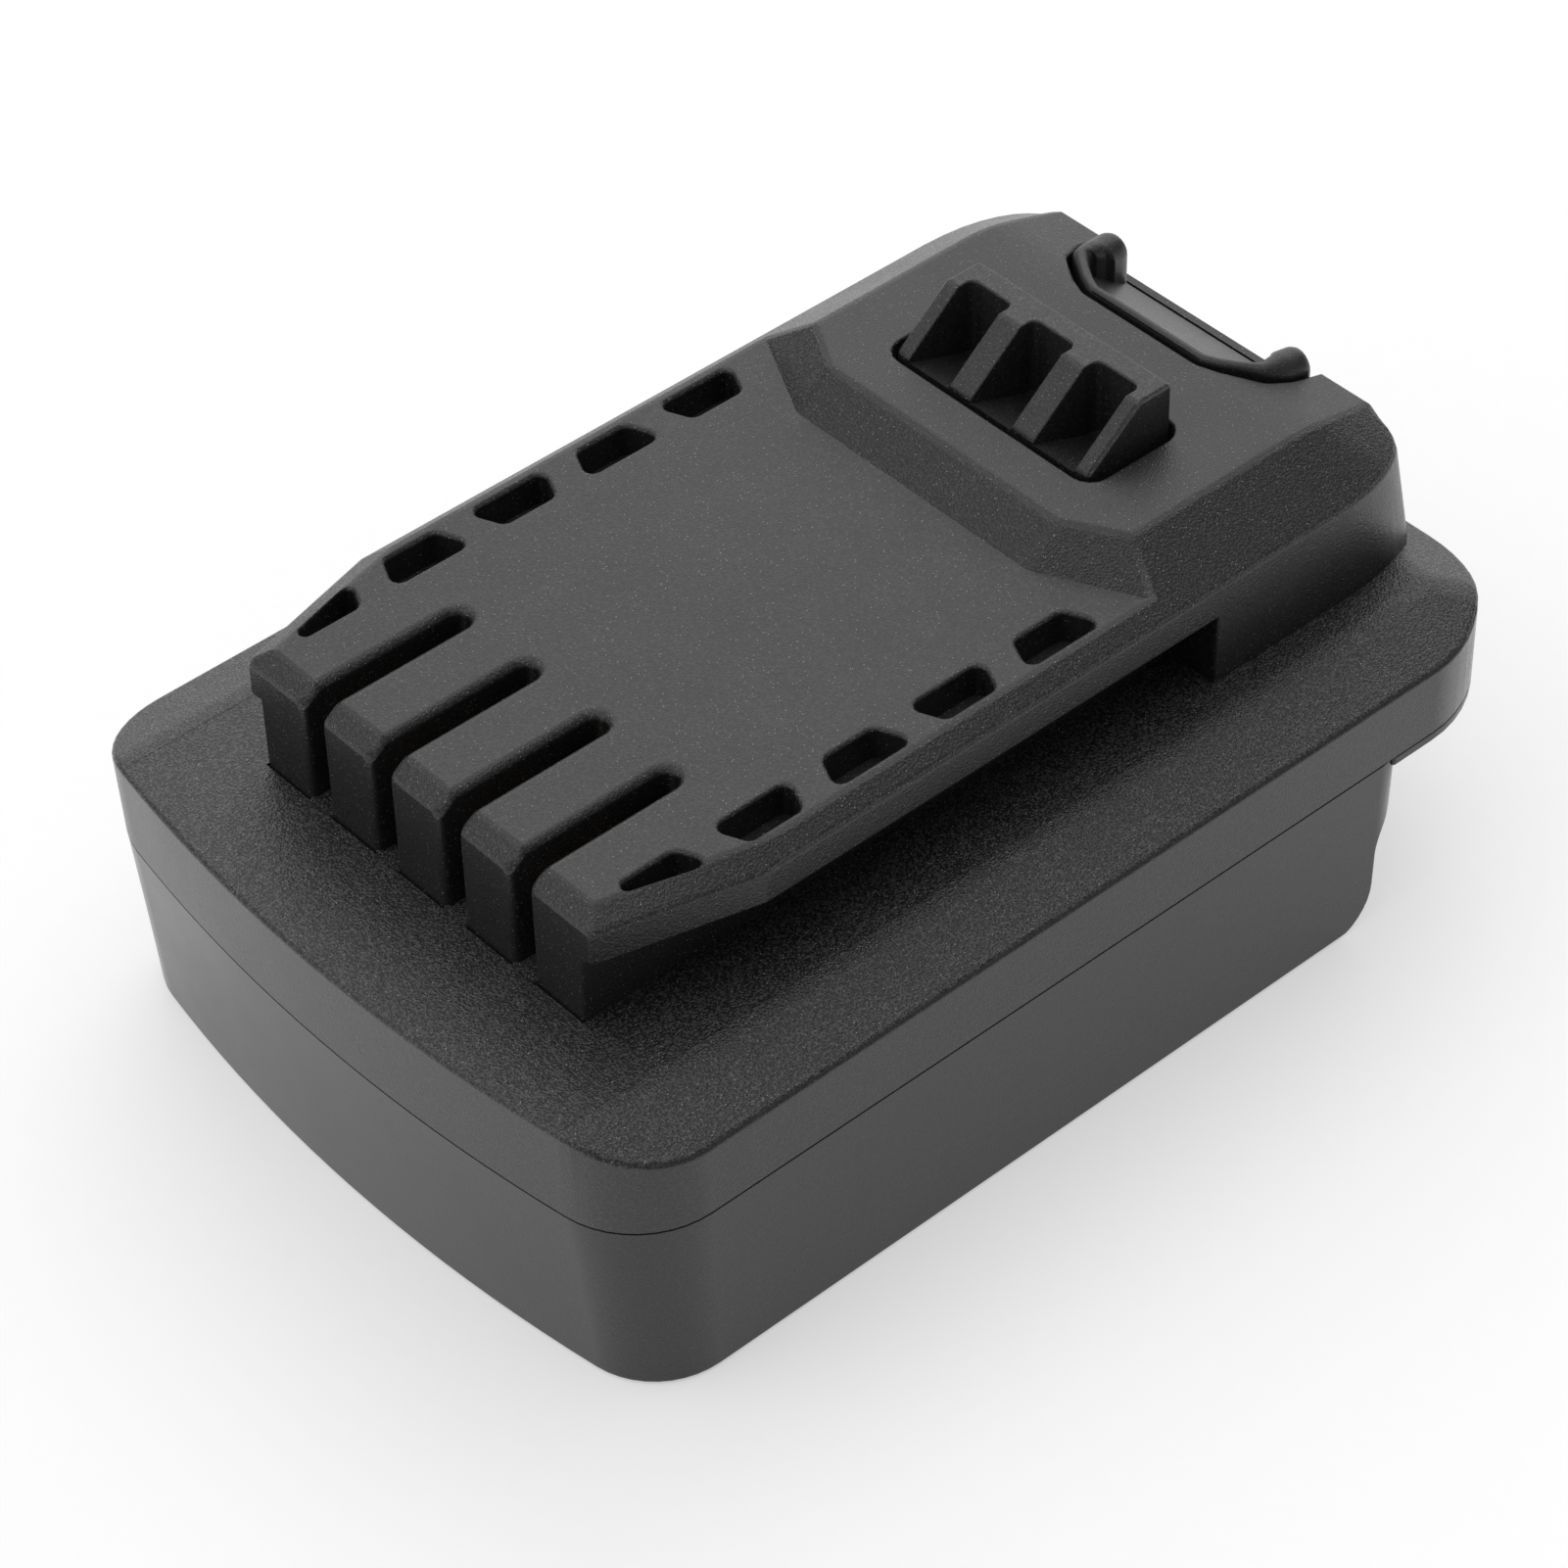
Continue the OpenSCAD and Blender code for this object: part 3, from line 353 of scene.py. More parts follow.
def soften(piece, width_of, segments=3, widest=1.0):
    """Rounds the edges by the widths that a rule gives for an edge's middle, normals and turn."""
    mesh = edit(piece, "EDGE")
    groups = {}
    for index, edge in enumerate(mesh.edges):
        if len(edge.link_faces) != 2:
            continue
        turn = degrees(edge.calc_face_angle(0))
        if turn < NEARLY_FLAT:
            continue
        middle = (edge.verts[0].co + edge.verts[1].co) / 2
        width = width_of(middle, [f.normal for f in edge.link_faces], turn, edge.is_convex)
        if width:
            groups.setdefault(width, []).append(index)
    for width, indices in groups.items():
        mesh = bmesh.from_edit_mesh(piece.data)
        mesh.edges.ensure_lookup_table()
        bpy.ops.mesh.select_all(action="DESELECT")
        for index in indices:
            mesh.edges[index].select_set(True)
        bmesh.update_edit_mesh(piece.data)
        bpy.ops.transform.edge_bevelweight(value=width / widest)
    close_edit()
    apply(piece, "BEVEL", width=widest, segments=segments, limit_method="WEIGHT",
          use_clamp_overlap=False, loop_slide=True, profile=0.5)


def shade(piece, angle):
    bpy.ops.object.select_all(action="DESELECT")
    bpy.context.view_layer.objects.active = piece
    piece.select_set(True)
    bpy.ops.object.shade_smooth_by_angle(angle=radians(angle))
    apply(piece, "WEIGHTED_NORMAL", keep_sharp=True, weight=100)


def to_metres(piece):
    bpy.ops.object.select_all(action="DESELECT")
    bpy.context.view_layer.objects.active = piece
    piece.select_set(True)
    bpy.ops.transform.resize(value=(MM, MM, MM), center_override=(0, 0, 0))
    bpy.ops.object.transform_apply(location=True, rotation=True, scale=True)
    return piece


# Upper shell

def foot_and_block():
    """Slide foot and latch block as rows of a half cross-section, from the front to the rear."""
    def section(tops, shoulder, low, stem):
        (x0, z0), (x1, y1, z1), (x2, y2, z2) = tops
        sx, sy = shoulder
        lx, ly = low
        wx, wy = stem
        return [
            (x0, 0, z0), (x1, y1, z1), (x2, y2, z2), (sx, sy, SHOULDER_Z), (lx, ly, PLATE_Z),
            (lx, wy, PLATE_Z), (wx, wy, DECK_Z - 1), (wx, 0, DECK_Z - 1),
        ]

    top_x = FOOT_X + FOOT_CHAMFER
    nose = (FOOT_X, NOSE_HALF)
    edge = FOOT_HALF - FOOT_CHAMFER
    low_row = [(FOOT_X, SHOULDER_Z), (FOOT_X, RAMP_HALF, SHOULDER_Z), (FOOT_X, NOSE_LOW_HALF, SHOULDER_Z)]
    front_row = [(top_x, FOOT_Z), (top_x, RAMP_HALF, FOOT_Z), (top_x, NOSE_TOP_HALF, FOOT_Z)]
    rows = [section(tops, nose, nose, (FOOT_X, STEM_HALF)) for tops in (low_row, front_row)]
    foot_wing_x, crest_x, crest_wing_x = RAMP_X + WING_BACK, RAMP_X + CREST_BACK, RAMP_X + CREST_WING_BACK
    for x, half, z, wing_x, wing_half, side_x in (
        (TAPER_X, RAMP_HALF, FOOT_Z, TAPER_X + TAPER_RUN, edge, TAPER_X),
        (RAMP_X, RAMP_HALF, FOOT_Z, foot_wing_x, edge, foot_wing_x),
        (crest_x, CREST_HALF, BLOCK_Z, crest_wing_x, TOP_HALF, crest_wing_x),
    ):
        side = (side_x, FOOT_HALF)
        rows.append(section([(x, z), (x, half, z), (wing_x, wing_half, z)], side, side, (side_x, STEM_HALF)))
    flat_top = [(STOP_X, BLOCK_Z), (STOP_X, CREST_HALF, BLOCK_Z), (STOP_X, TOP_HALF, BLOCK_Z)]
    for wall in (STEM_HALF, FOOT_HALF):
        rows.append(section(flat_top, (STOP_X, FOOT_HALF), (STOP_X, FOOT_HALF), (STOP_X, wall)))
    for (tx, ty, tz), (sx, sy) in zip(SLOPE_EDGE, REAR_CORNER):
        low_x = sx + LEAN * (SHOULDER_Z - PLATE_Z)
        deck_x = sx + LEAN * (SHOULDER_Z - DECK_Z + 1)
        tops = [(tx, tz), (tx, SLOPE_HALF, tz), (tx, ty, tz)]
        rows.append(section(tops, (sx, sy), (low_x, sy), (deck_x, sy)))
    piece = loft("foot_and_block", rows)
    apply(piece, "MIRROR", use_axis=(False, True, False), merge_threshold=MERGE)
    tidy_mesh(piece)
    cap_open_ends(piece)
    flatten(piece)
    soften(piece, foot_edge)
    for y in SLOT_YS:
        cut(piece, flared("slot", lambda by: slot_outline(y, by), DECK_Z - 4, foot_top, SLOT_RIM_R))
    return piece


def foot_top(x):
    """Height of the foot's top, round over the edge of its front chamfer and down it."""
    fall = (FOOT_Z - SHOULDER_Z) / FOOT_CHAMFER
    back = x - FOOT_X - FOOT_CHAMFER
    if back >= EDGE_ROUND:
        return FOOT_Z
    if back > -EDGE_ROUND:
        return FOOT_Z - fall * (EDGE_ROUND - back) ** 2 / (4 * EDGE_ROUND)
    return max(SHOULDER_Z, FOOT_Z + fall * back)


def slot_outline(y, by):
    """Contact slot, opened by a distance, with a round end and round corners at the front of the foot."""
    half, r = SLOT_HALF + by, SLOT_FRONT_R
    edge = FOOT_X + FOOT_CHAMFER
    side = [(FOOT_X - 2, half + r)] + arc(FOOT_X + r, half + r, r, 180, 270, 5)
    side += [(edge + step * EDGE_ROUND, half) for step in (-1, -0.5, 0, 0.5, 1)]
    side += arc(SLOT_END - SLOT_HALF, 0, half, 90, 0, 6)
    return [(px, y + py) for px, py in mirrored(side)]


def slot_pit_outline(y):
    """Floor of a slot, sunk behind the sill at its mouth."""
    end, start = SLOT_END - SLOT_HALF, FOOT_X + SILL_DEPTH
    return [(start, y - SLOT_HALF)] + arc(end, y, SLOT_HALF, -90, 90, 12) + [(start, y + SLOT_HALF)]


def foot_edge(p, normals, turn, convex):
    """Rounding of the edges of the foot and the block, in millimetres."""
    x, z = p.x, p.z
    level = max(abs(n.z) for n in normals) < 0.05
    if not convex or z < DECK_Z - 0.9:
        return 0
    if x > BLOCK_REAR:
        return 0.5 if turn > 20 and z > SHOULDER_Z - 0.1 else 0
    if level:
        return 0 if turn < 12 else 0.45 if x < FOOT_X + 0.1 else 0.3
    if z < PLATE_Z + 0.1:
        return 0.4
    if turn < 12:
        return 0
    return 0.6 if z > FOOT_Z + 0.1 or x > RAMP_X - 0.1 else 0.4


def button_outline(margin, rear):
    """The button from above, opened by a margin and cut off at the rear."""
    side = rounded([
        (42.35 - margin, 0, 0),
        (42.35 - margin, 7.3 + 0.3 * margin, 2.5),
        (43.15 - margin, 9.0 + margin, 2.5),
        (45.55 - margin, 12.7 + margin, 2.2),
        (47.6, 13.6 + margin, 5.0),
        (rear, 13.9 + margin, 0),
        (rear, 0, 0),
    ], steps=7)
    return mirrored([p for p in side if p != (rear, 0)])


def vent_outline(i, side):
    """A vent pocket; they widen outwards and inwards by turns, and the first one is a slim drop."""
    x = VENT_X + i * VENT_PITCH
    inner, outer = (VENT_SHORT, VENT_LONG) if i % 2 == 0 else (VENT_LONG, VENT_SHORT)
    corners = [
        (x - inner, VENT_IN, 0.8), (x + inner, VENT_IN, 0.8),
        (x + outer, VENT_OUT, 0.7), (x - outer, VENT_OUT, 0.7),
    ]
    if i == 0:
        corners = [
            (x - inner, VENT_IN, 0.5), (x + inner, VENT_IN, 0.9), (x + outer - 0.2, VENT_OUT - 0.45, 0.6),
            (x + outer - 1.9, VENT_OUT - 0.75, 0.6), (x - outer + 0.6, VENT_IN + 0.75, 0.5),
        ]
    return [(px, side * py) for px, py in rounded(corners, steps=3)]


def housing():
    """Deck with its sloping bands and the walls down to the seam."""
    outline = housing_outline(HALF_W, FRONT_X, REAR_X, FRONT_R, REAR_R)
    piece = upright("upper_shell_moulding", outline, SEAM_Z, DECK_Z)
    for vert in piece.data.vertices:
        if vert.co.z < SEAM_Z + 0.1 and vert.co.x < FRONT_PART_X:
            vert.co.x += FRONT_LEAN
    slope = atan2(BAND_DROP, BAND_W)
    for way, reach in (((0, 1), HALF_W), ((0, -1), HALF_W), ((1, 0), REAR_X)):
        start = reach - BAND_W - CREASE_R * tan(slope / 2)
        for k in range(CREASE_STEPS):
            turn = slope * (k + 1) / CREASE_STEPS
            out = start + CREASE_R * sin(turn)
            shave(piece, (way[0] * out, way[1] * out, DECK_Z - CREASE_R * (1 - cos(turn))),
                  (way[0] * sin(turn), way[1] * sin(turn), cos(turn)))
    for side in (1, -1):
        corner = Vector((REAR_X - BAND_W, side * (HALF_W - BAND_W), DECK_Z))
        rear = Vector((sin(slope), 0, cos(slope)))
        flank = Vector((0, side * sin(slope), cos(slope)))
        middle = (rear + flank).normalized()
        axis = corner - middle * CREASE_R / cos(rear.angle(flank) / 2)
        for k in range(1, CREASE_STEPS):
            normal = rear.slerp(flank, k / CREASE_STEPS)
            shave(piece, axis + normal * CREASE_R, normal)
    tidy_mesh(piece)
    soften(piece, housing_edge)
    return piece


def housing_edge(p, normals, turn, convex):
    """Rounding of the housing's edges, in millimetres."""
    if p.z < SEAM_Z + 0.05:
        return SEAM_R
    return 0.5 if turn > 35 else 0


def block_top(x):
    """Height of the block's top and of its rear slope."""
    curve = [(tx, tz) for tx, _, tz in SLOPE_EDGE[:5] + SLOPE_EDGE[-1:]]
    heights = [(0, BLOCK_Z)] + curve + [(60, SHOULDER_Z)]
    for (x0, z0), (x1, z1) in zip(heights, heights[1:]):
        if x <= x1:
            return z0 + (z1 - z0) * (x - x0) / (x1 - x0)
    return heights[-1][1]


def upper_shell():
    shell = housing()
    for y in SLOT_YS:
        cut(shell, upright("slot_pit", slot_pit_outline(y), CEILING_Z + SLOT_PIT_FLOOR, DECK_Z + 2))
    gap = box_outline(FOOT_X - FOOT_GAP, FOOT_X + 0.5, STEM_HALF)
    cut(shell, upright("foot_gap", gap, DECK_Z - FOOT_GAP_DEPTH, DECK_Z + 1))
    join_in(shell, foot_and_block())
    for y in SLOT_YS:
        nose_x, sill_x = FOOT_X - SILL_NOSE, FOOT_X + SILL_DEPTH
        nose = rounded([(nose_x, y - SILL_HALF, SILL_R), (sill_x, y - SILL_HALF, 0),
                        (sill_x, y + SILL_HALF, 0), (nose_x, y + SILL_HALF, SILL_R)])
        join_in(shell, upright("slot_sill", nose, DECK_Z - 1, DECK_Z + SILL_RISE))
    hollow = housing_outline(HALF_W - WALL, FRONT_X + FRONT_LEAN + WALL, REAR_X - WALL,
                             HOLLOW_FRONT_R, HOLLOW_REAR_R)
    foot_hollow = box_outline(SLOT_END + WALL, HOLLOW_REAR, STEM_HALF - WALL)
    block_hollow = box_outline(BLOCK_HOLLOW_X, HOLLOW_REAR, TOP_HALF - WALL)
    shaft = button_outline(BUTTON_PLAY, BUTTON_SHAFT_REAR)
    cut(
        shell,
        upright("hollow", hollow, SEAM_Z - 1, CEILING_Z),
        upright("foot_hollow", foot_hollow, CEILING_Z - 1, FOOT_Z - WALL),
        upright("block_hollow", block_hollow, FOOT_Z - WALL - 1, BLOCK_CEILING_Z),
        upright("button_shaft", shaft, CEILING_Z - 1, BLOCK_Z - 3),
        flared("button_notch", lambda by: button_outline(BUTTON_PLAY + by, REAR_X + 2), SILL_Z, block_top,
               NOTCH_RIM_R),
        flared("latch_hole", lambda by: grown(box_outline(*HOLE, HOLE_R), by), BLOCK_CEILING_Z - 1,
               lambda x: BLOCK_Z, HOLE_RIM_R),
    )
    for y in SLOT_YS:
        opening = box_outline(CONTACT_FRONT, CONTACT_REAR, SLOT_HALF, y=y)
        cut(shell, upright("contact_opening", opening, SEAM_Z, CEILING_Z + 1))
    for i in range(VENTS):
        for side in (1, -1):
            cut(shell, flared("vent", lambda by: grown(vent_outline(i, side), by), FOOT_Z - VENT_DEPTH,
                              lambda x: FOOT_Z, VENT_RIM_R))
    for x, y in SHELL_SCREWS + LIP_SCREWS:
        join_in(shell, upright("boss", disc(x, y, BOSS_R), SEAM_Z, CEILING_Z + 1))
        cut(shell, upright("bore", disc(x, y, SCREW_R), SEAM_Z - 1, CEILING_Z))
    tidy_mesh(shell)
    return shell


# Lower shell and lip

def skirt_ring(z, by):
    """The skirt's outline at a height, drawn in by a distance; at the seam it is flush with the housing."""
    down = 1 - z / SEAM_Z
    out = (z / SEAM_Z) ** 2
    narrow = 1 - down * (1 - BASE_HALF / SKIRT_HALF)
    half, front = SKIRT_HALF + SEAM_OUT_SIDE * out, SKIRT_FRONT - SEAM_OUT_FRONT * out
    outline = housing_outline(half, front, SKIRT_REAR, SKIRT_FRONT_R + SEAM_OUT_R * out, SKIRT_REAR_R)
    outline = grown(outline, -by)
    return [(x + (SKIRT_LEAN * down if x < FRONT_PART_X else 0), y * narrow, z) for x, y in outline]


def lower_shell():
    """Skirt round the battery's socket, drawn in towards its foot, with a stepped open end."""
    turns = [pi / 2 * k / 5 for k in range(6)]
    rings = [skirt_ring(SKIRT_FOOT_R * (1 - cos(turn)), SKIRT_FOOT_R * (1 - sin(turn))) for turn in turns]
    rings += [skirt_ring(SEAM_Z * k / 6, 0) for k in range(1, 6)]
    rings += [skirt_ring(SEAM_Z - SEAM_GAP - SEAM_R, 0), skirt_ring(SEAM_Z - SEAM_GAP, SEAM_R)]
    rings += [skirt_ring(SEAM_Z - SEAM_GAP, 0.7), skirt_ring(SEAM_Z, 0.72)]
    skirt = stacked("lower_shell_moulding", rings)
    side_view = rounded([
        (-60, -1, 0), (OPEN_END - 5, -1, 0), (OPEN_END - 5, 0, 0), (OPEN_END, 0, 4.99), (OPEN_END, 10.5, 5),
        (SKIRT_REAR - 0.3, 14.83, 3), (SKIRT_REAR + 1, 22, 0), (-60, 22, 0),
    ], steps=8)
    keep = crosswise("side_view", side_view, HALF_W)
    apply(skirt, "BOOLEAN", object=keep, operation="INTERSECT", solver="EXACT")
    bpy.data.objects.remove(keep)
    cut(
        skirt,
        upright("lip_seat", box_outline(LIP_FRONT, 60, HALF_W + 1), LIP_Z, SEAM_Z + 1),
        flared("socket", lambda by: grown(box_outline(SOCKET_FRONT, 60, SOCKET_HALF, SOCKET_R), by), ROOF_Z,
               lambda x: 0, SOCKET_RIM_R, way=-1),
    )
    for side in (-1, 1):
        plan = [
            (-51.6, RAIL_HALF), (RAIL_REAR, RAIL_HALF), (RAIL_REAR, RAIL_ROOT), (-47.6, RAIL_ROOT),
            (-51.4, 31.2),
        ]
        rail = upright("rail", [(x, side * y) for x, y in plan], RAIL_LOW, RAIL_HIGH)
        soften(rail, lambda p, normals, turn, convex: RAIL_ROUND if abs(p.y) < RAIL_HALF + 0.1 else 0)
        join_in(skirt, rail)
    for x, y in SPRINGS:
        post = disc(x, y, SPRING_POST_R)
        join_in(skirt, upright("spring_post", post, SEAM_Z - 0.5, SEAM_Z + SPRING_POST_RISE))
    for x, y in BOARD_POSTS:
        post = disc(x, y, BOARD_POST_R)
        join_in(skirt, upright("board_post", post, SEAM_Z - 0.5, SEAM_Z + BOARD_POST_RISE))
    for x, y in SHELL_SCREWS:
        cut(skirt, upright("bore", disc(x, y, CLEAR_R), ROOF_Z - 1, SEAM_Z + 1),
            upright("head_seat", disc(x, y, HEAD_R), ROOF_Z - 1, ROOF_Z + HEAD_DEPTH))
    for x, y in BOARD_SCREWS:
        cut(skirt, upright("bore", disc(x, y, SCREW_R), SEAM_Z - 0.8, SEAM_Z + 3))
    for side in (-1, 1):
        bore = disc(BLOCK_SCREW_X, side * BLOCK_SCREW_Y, CLEAR_R)
        blade_way = box_outline(*BLADE_WAY, y=side * BLADE_Y)
        cut(skirt, upright("bore", bore, ROOF_Z - 1, SEAM_Z + 1),
            upright("blade_way", blade_way, ROOF_Z - 1, SEAM_Z + 1))
    tidy_mesh(skirt)
    return skirt


def rear_lip_plate():
    """Plate under the rear overhang, with the catch for the battery's latch."""
    outline = housing_outline(HALF_W, FRONT_X + FRONT_LEAN, REAR_X, FRONT_R, REAR_R)
    plate = upright("rear_lip_moulding", outline, LIP_Z, SEAM_Z)
    shave(plate, (LIP_FRONT, 0, 0), (-1, 0, 0))
    tidy_mesh(plate)
    soften(plate, lip_edge)
    cut(plate, upright("catch", box_outline(*CATCH), LIP_Z - 1, SEAM_Z + 1))
    for x, y in LIP_SCREWS:
        cut(plate, upright("bore", disc(x, y, CLEAR_R), LIP_Z - 1, SEAM_Z + 1))
    tidy_mesh(plate)
    return plate


def lip_edge(p, normals, turn, convex):
    """Rounding of the lip plate's edges, in millimetres; the top one makes the dark gap line."""
    if turn < 40:
        return 0
    return LIP_TOP_ROUND if p.z > SEAM_Z - 0.1 else LIP_ROUND


# Latch

def wedge_top(x):
    """Height of the latch's top, down its slope to the block."""
    up = min(1, max(0, (x - LATCH_FRONT) / (LATCH_TOP - LATCH_FRONT)))
    return BLOCK_Z + up * (LATCH_Z - BLOCK_Z)


def pocket_floor(x):
    """Floor of the latch's pockets, down towards the rear."""
    return BLOCK_Z - POCKET_DROP - POCKET_FALL * max(0, x - LATCH_FRONT)


def latch():
    """Wedge with three pockets between four ribs, on the carriage that it shares with the button."""
    profile = [
        (LATCH_FRONT, LATCH_LOW), (LATCH_REAR, LATCH_LOW), (LATCH_REAR, LATCH_Z), (LATCH_TOP, LATCH_Z),
        (LATCH_FRONT, BLOCK_Z),
    ]
    wedge = crosswise("latch_moulding", profile, LATCH_HALF)
    soften(wedge, lambda p, normals, turn, convex: LATCH_ROUND if p.z > LATCH_LOW + 0.1 else 0)
    kinks = (LATCH_FRONT - 3, LATCH_FRONT, LATCH_TOP - 0.3, LATCH_TOP, LATCH_TOP + 0.3)
    flank = [(x, 0) for x in kinks] + [(POCKET_REAR, POCKET_R)]
    for y in POCKET_YS:
        corners = [(x, y - POCKET_HALF, r) for x, r in flank]
        corners += [(x, y + POCKET_HALF, r) for x, r in reversed(flank)]
        cut(wedge, flared("pocket", lambda by: grown(rounded(corners), by), pocket_floor, wedge_top,
                          POCKET_RIM_R))
    join_in(wedge, upright("flange", box_outline(*FLANGE), CARRIAGE_LOW, FLANGE_TOP))
    carriage = box_outline(LATCH_FRONT, CARRIAGE_REAR, CARRIAGE_HALF, 0.5)
    join_in(wedge, upright("carriage", carriage, CARRIAGE_LOW, CARRIAGE_Z))
    for x, y in SPRINGS:
        join_in(wedge, upright("spigot", disc(x, y, SPRING_POST_R), SPIGOT_LOW, CARRIAGE_LOW + 0.5))
    for x, y in PEGS:
        cut(wedge, upright("bore", disc(x, y, PEG_HOLE_R), CARRIAGE_LOW - 1.5, CARRIAGE_Z + 1))
    tidy_mesh(wedge)
    return wedge


# Release button

def ease(start, end, value):
    """0 before the start, 1 after the end, and a smooth rise between them."""
    t = min(1, max(0, (value - start) / (end - start)))
    return t * t * (3 - 2 * t)


def ridge_ring(point, inward):
    """Section of the rim with a round top, thin as a bead at the front and thick at the ears."""
    r = BEAD_R + (EAR_R - BEAD_R) * ease(EAR_START, EAR_FULL, point.x)
    middle = point + inward * r
    crown = BEAD_Z + (EAR_Z - BEAD_Z) * ease(EAR_FALL, BUTTON_REAR, point.x) - r
    past = max(0, point.x - BUTTON_REAR + EAR_ROUND) / EAR_ROUND
    r *= sqrt(1 - EAR_SHRINK * past ** 2)
    ring = []
    for k in range(RIDGE_STEPS + 1):
        turn = pi * k / RIDGE_STEPS
        at = middle - inward * r * cos(turn)
        ring.append((at.x, at.y, crown + r * sin(turn)))
    return [ring[0][:2] + (RIDGE_ROOT,)] + ring + [ring[-1][:2] + (RIDGE_ROOT,)]


def release_button():
    """Button with a slope for the finger, a bead round its front and two thick ears."""
    outline = button_outline(0, BUTTON_REAR)
    piece = upright("release_button_moulding", grown(outline, -0.15), CARRIAGE_Z, BEAD_Z)
    sill = Vector((BUTTON_REAR, 0, SILL_Z + 0.3))
    front = Vector((SCOOP_FRONT, 0, BEAD_Z - 0.55))
    shave(piece, sill, (front.z - sill.z, 0, sill.x - front.x))
    half = [p for p in outline if p[1] >= 0]
    path = [Vector(half[0])]
    for x, y in half[1:]:
        step = Vector((x, y)) - path[-1]
        count = max(1, round(step.length / RIDGE_STEP))
        path += [path[-1] + step * (k + 1) / count for k in range(count)]
    path = list(reversed(path)) + [Vector((p.x, -p.y)) for p in path[1:]]
    rings = []
    for i, point in enumerate(path):
        along = path[min(i + 1, len(path) - 1)] - path[max(i - 1, 0)]
        inward = Vector((-along.y, along.x)).normalized()
        if i in (0, len(path) - 1):
            inward = Vector((0, -1 if point.y > 0 else 1))
        rings.append(ridge_ring(point, inward))
    join_in(piece, stacked("ridge", rings), folded=True)
    for x, y in PEGS:
        join_in(piece, upright("peg", disc(x, y, PEG_R), CARRIAGE_LOW, CARRIAGE_Z + 0.5))
    tidy_mesh(piece)
    return piece


# Finishes

class Wire:
    """A shader socket that takes part in sums and passes on to further nodes."""

    def __init__(self, tree, socket):
        self.tree = tree
        self.socket = socket

    def node(self, kind, settings=None, inputs=None, output=0):
        """Adds a node, sets it up, and then fills or links its sockets."""
        made = self.tree.nodes.new(kind)
        for key, value in (settings or {}).items():
            setattr(made, key, value)
        for key, value in (inputs or {}).items():
            if isinstance(value, Wire):
                self.tree.links.new(value.socket, made.inputs[key])
            else:
                made.inputs[key].default_value = value
        return Wire(self.tree, made.outputs[output])

    def sum(self, operation, first, second):
        return self.node("ShaderNodeMath", {"operation": operation}, {0: first, 1: second})

    def __add__(self, other):
        return self.sum("ADD", self, other)

    def __radd__(self, other):
        return self.sum("ADD", other, self)

    def __sub__(self, other):
        return self.sum("SUBTRACT", self, other)

    def __rsub__(self, other):
        return self.sum("SUBTRACT", other, self)

    def __mul__(self, other):
        return self.sum("MULTIPLY", self, other)

    def __rmul__(self, other):
        return self.sum("MULTIPLY", other, self)

    def step(self, low, high):
        """Rises from 0 to 1 between two values."""
        return self.node("ShaderNodeMapRange", {"interpolation_type": "SMOOTHSTEP"},
                         {0: self, 1: low, 2: high, 3: 0.0, 4: 1.0})

    def noise(self, size, detail=2.0, rough=0.55, stretch=(1, 1, 1)):
        """Cloudy values with lumps of a size in millimetres."""
        place = self
        if stretch != (1, 1, 1):
            place = self.node("ShaderNodeMapping", inputs={"Vector": self, "Scale": stretch})
        return self.node("ShaderNodeTexNoise", inputs={
            "Vector": place, "Scale": 1 / (size * MM), "Detail": detail, "Roughness": rough})

    def cells(self, size):
        """Distance from scattered points, with cells of a size in millimetres."""
        return self.node("ShaderNodeTexVoronoi", {"feature": "F1"},
                         {"Vector": self, "Scale": 1 / (size * MM)})

    def mix(self, first, second):
        """Blends two colours by this value."""
        return self.node("ShaderNodeMix", {"data_type": "RGBA"}, {0: self, 6: first, 7: second}, 2)

    def part(self, axis):
        return self.node("ShaderNodeSeparateXYZ", inputs={0: self}, output=axis)


def grey(value, tint=(1, 1, 1)):
    return (value * tint[0], value * tint[1], value * tint[2], 1)


def finish(name, **fixed):
    """A new material with its shader, its fixed values and the place on the piece."""
    material = bpy.data.materials.new(name)
    material.use_nodes = True
    tree = material.node_tree
    shader = tree.nodes["Principled BSDF"]
    for key, value in fixed.items():
        shader.inputs[key.replace("_", " ")].default_value = value
    place = tree.nodes.new("ShaderNodeTexCoord").outputs["Object"]
    return material, shader, Wire(tree, place)


def feed(shader, socket, wire):
    wire.tree.links.new(wire.socket, shader.inputs[socket])


def raise_surface(shader, height, depth):
    """Surface relief with a depth in millimetres."""
    feed(shader, "Normal", height.node("ShaderNodeBump", inputs={
        "Strength": 1.0, "Distance": depth * MM, "Height": height}))


COOL_BLACK = (1.0, 1.0, 1.03)
# Colour of the bright specks: partly dust, partly painted glints.
DUST_AND_GLINT = grey(0.42)
SPECK_GAP, MOTTLE_SIZE = 0.48, 7.0
PLASTIC_IOR = 1.5
# How much lighter the pebble tops are painted, as glints.
CROWN_GLINT_LIFT = 2.4


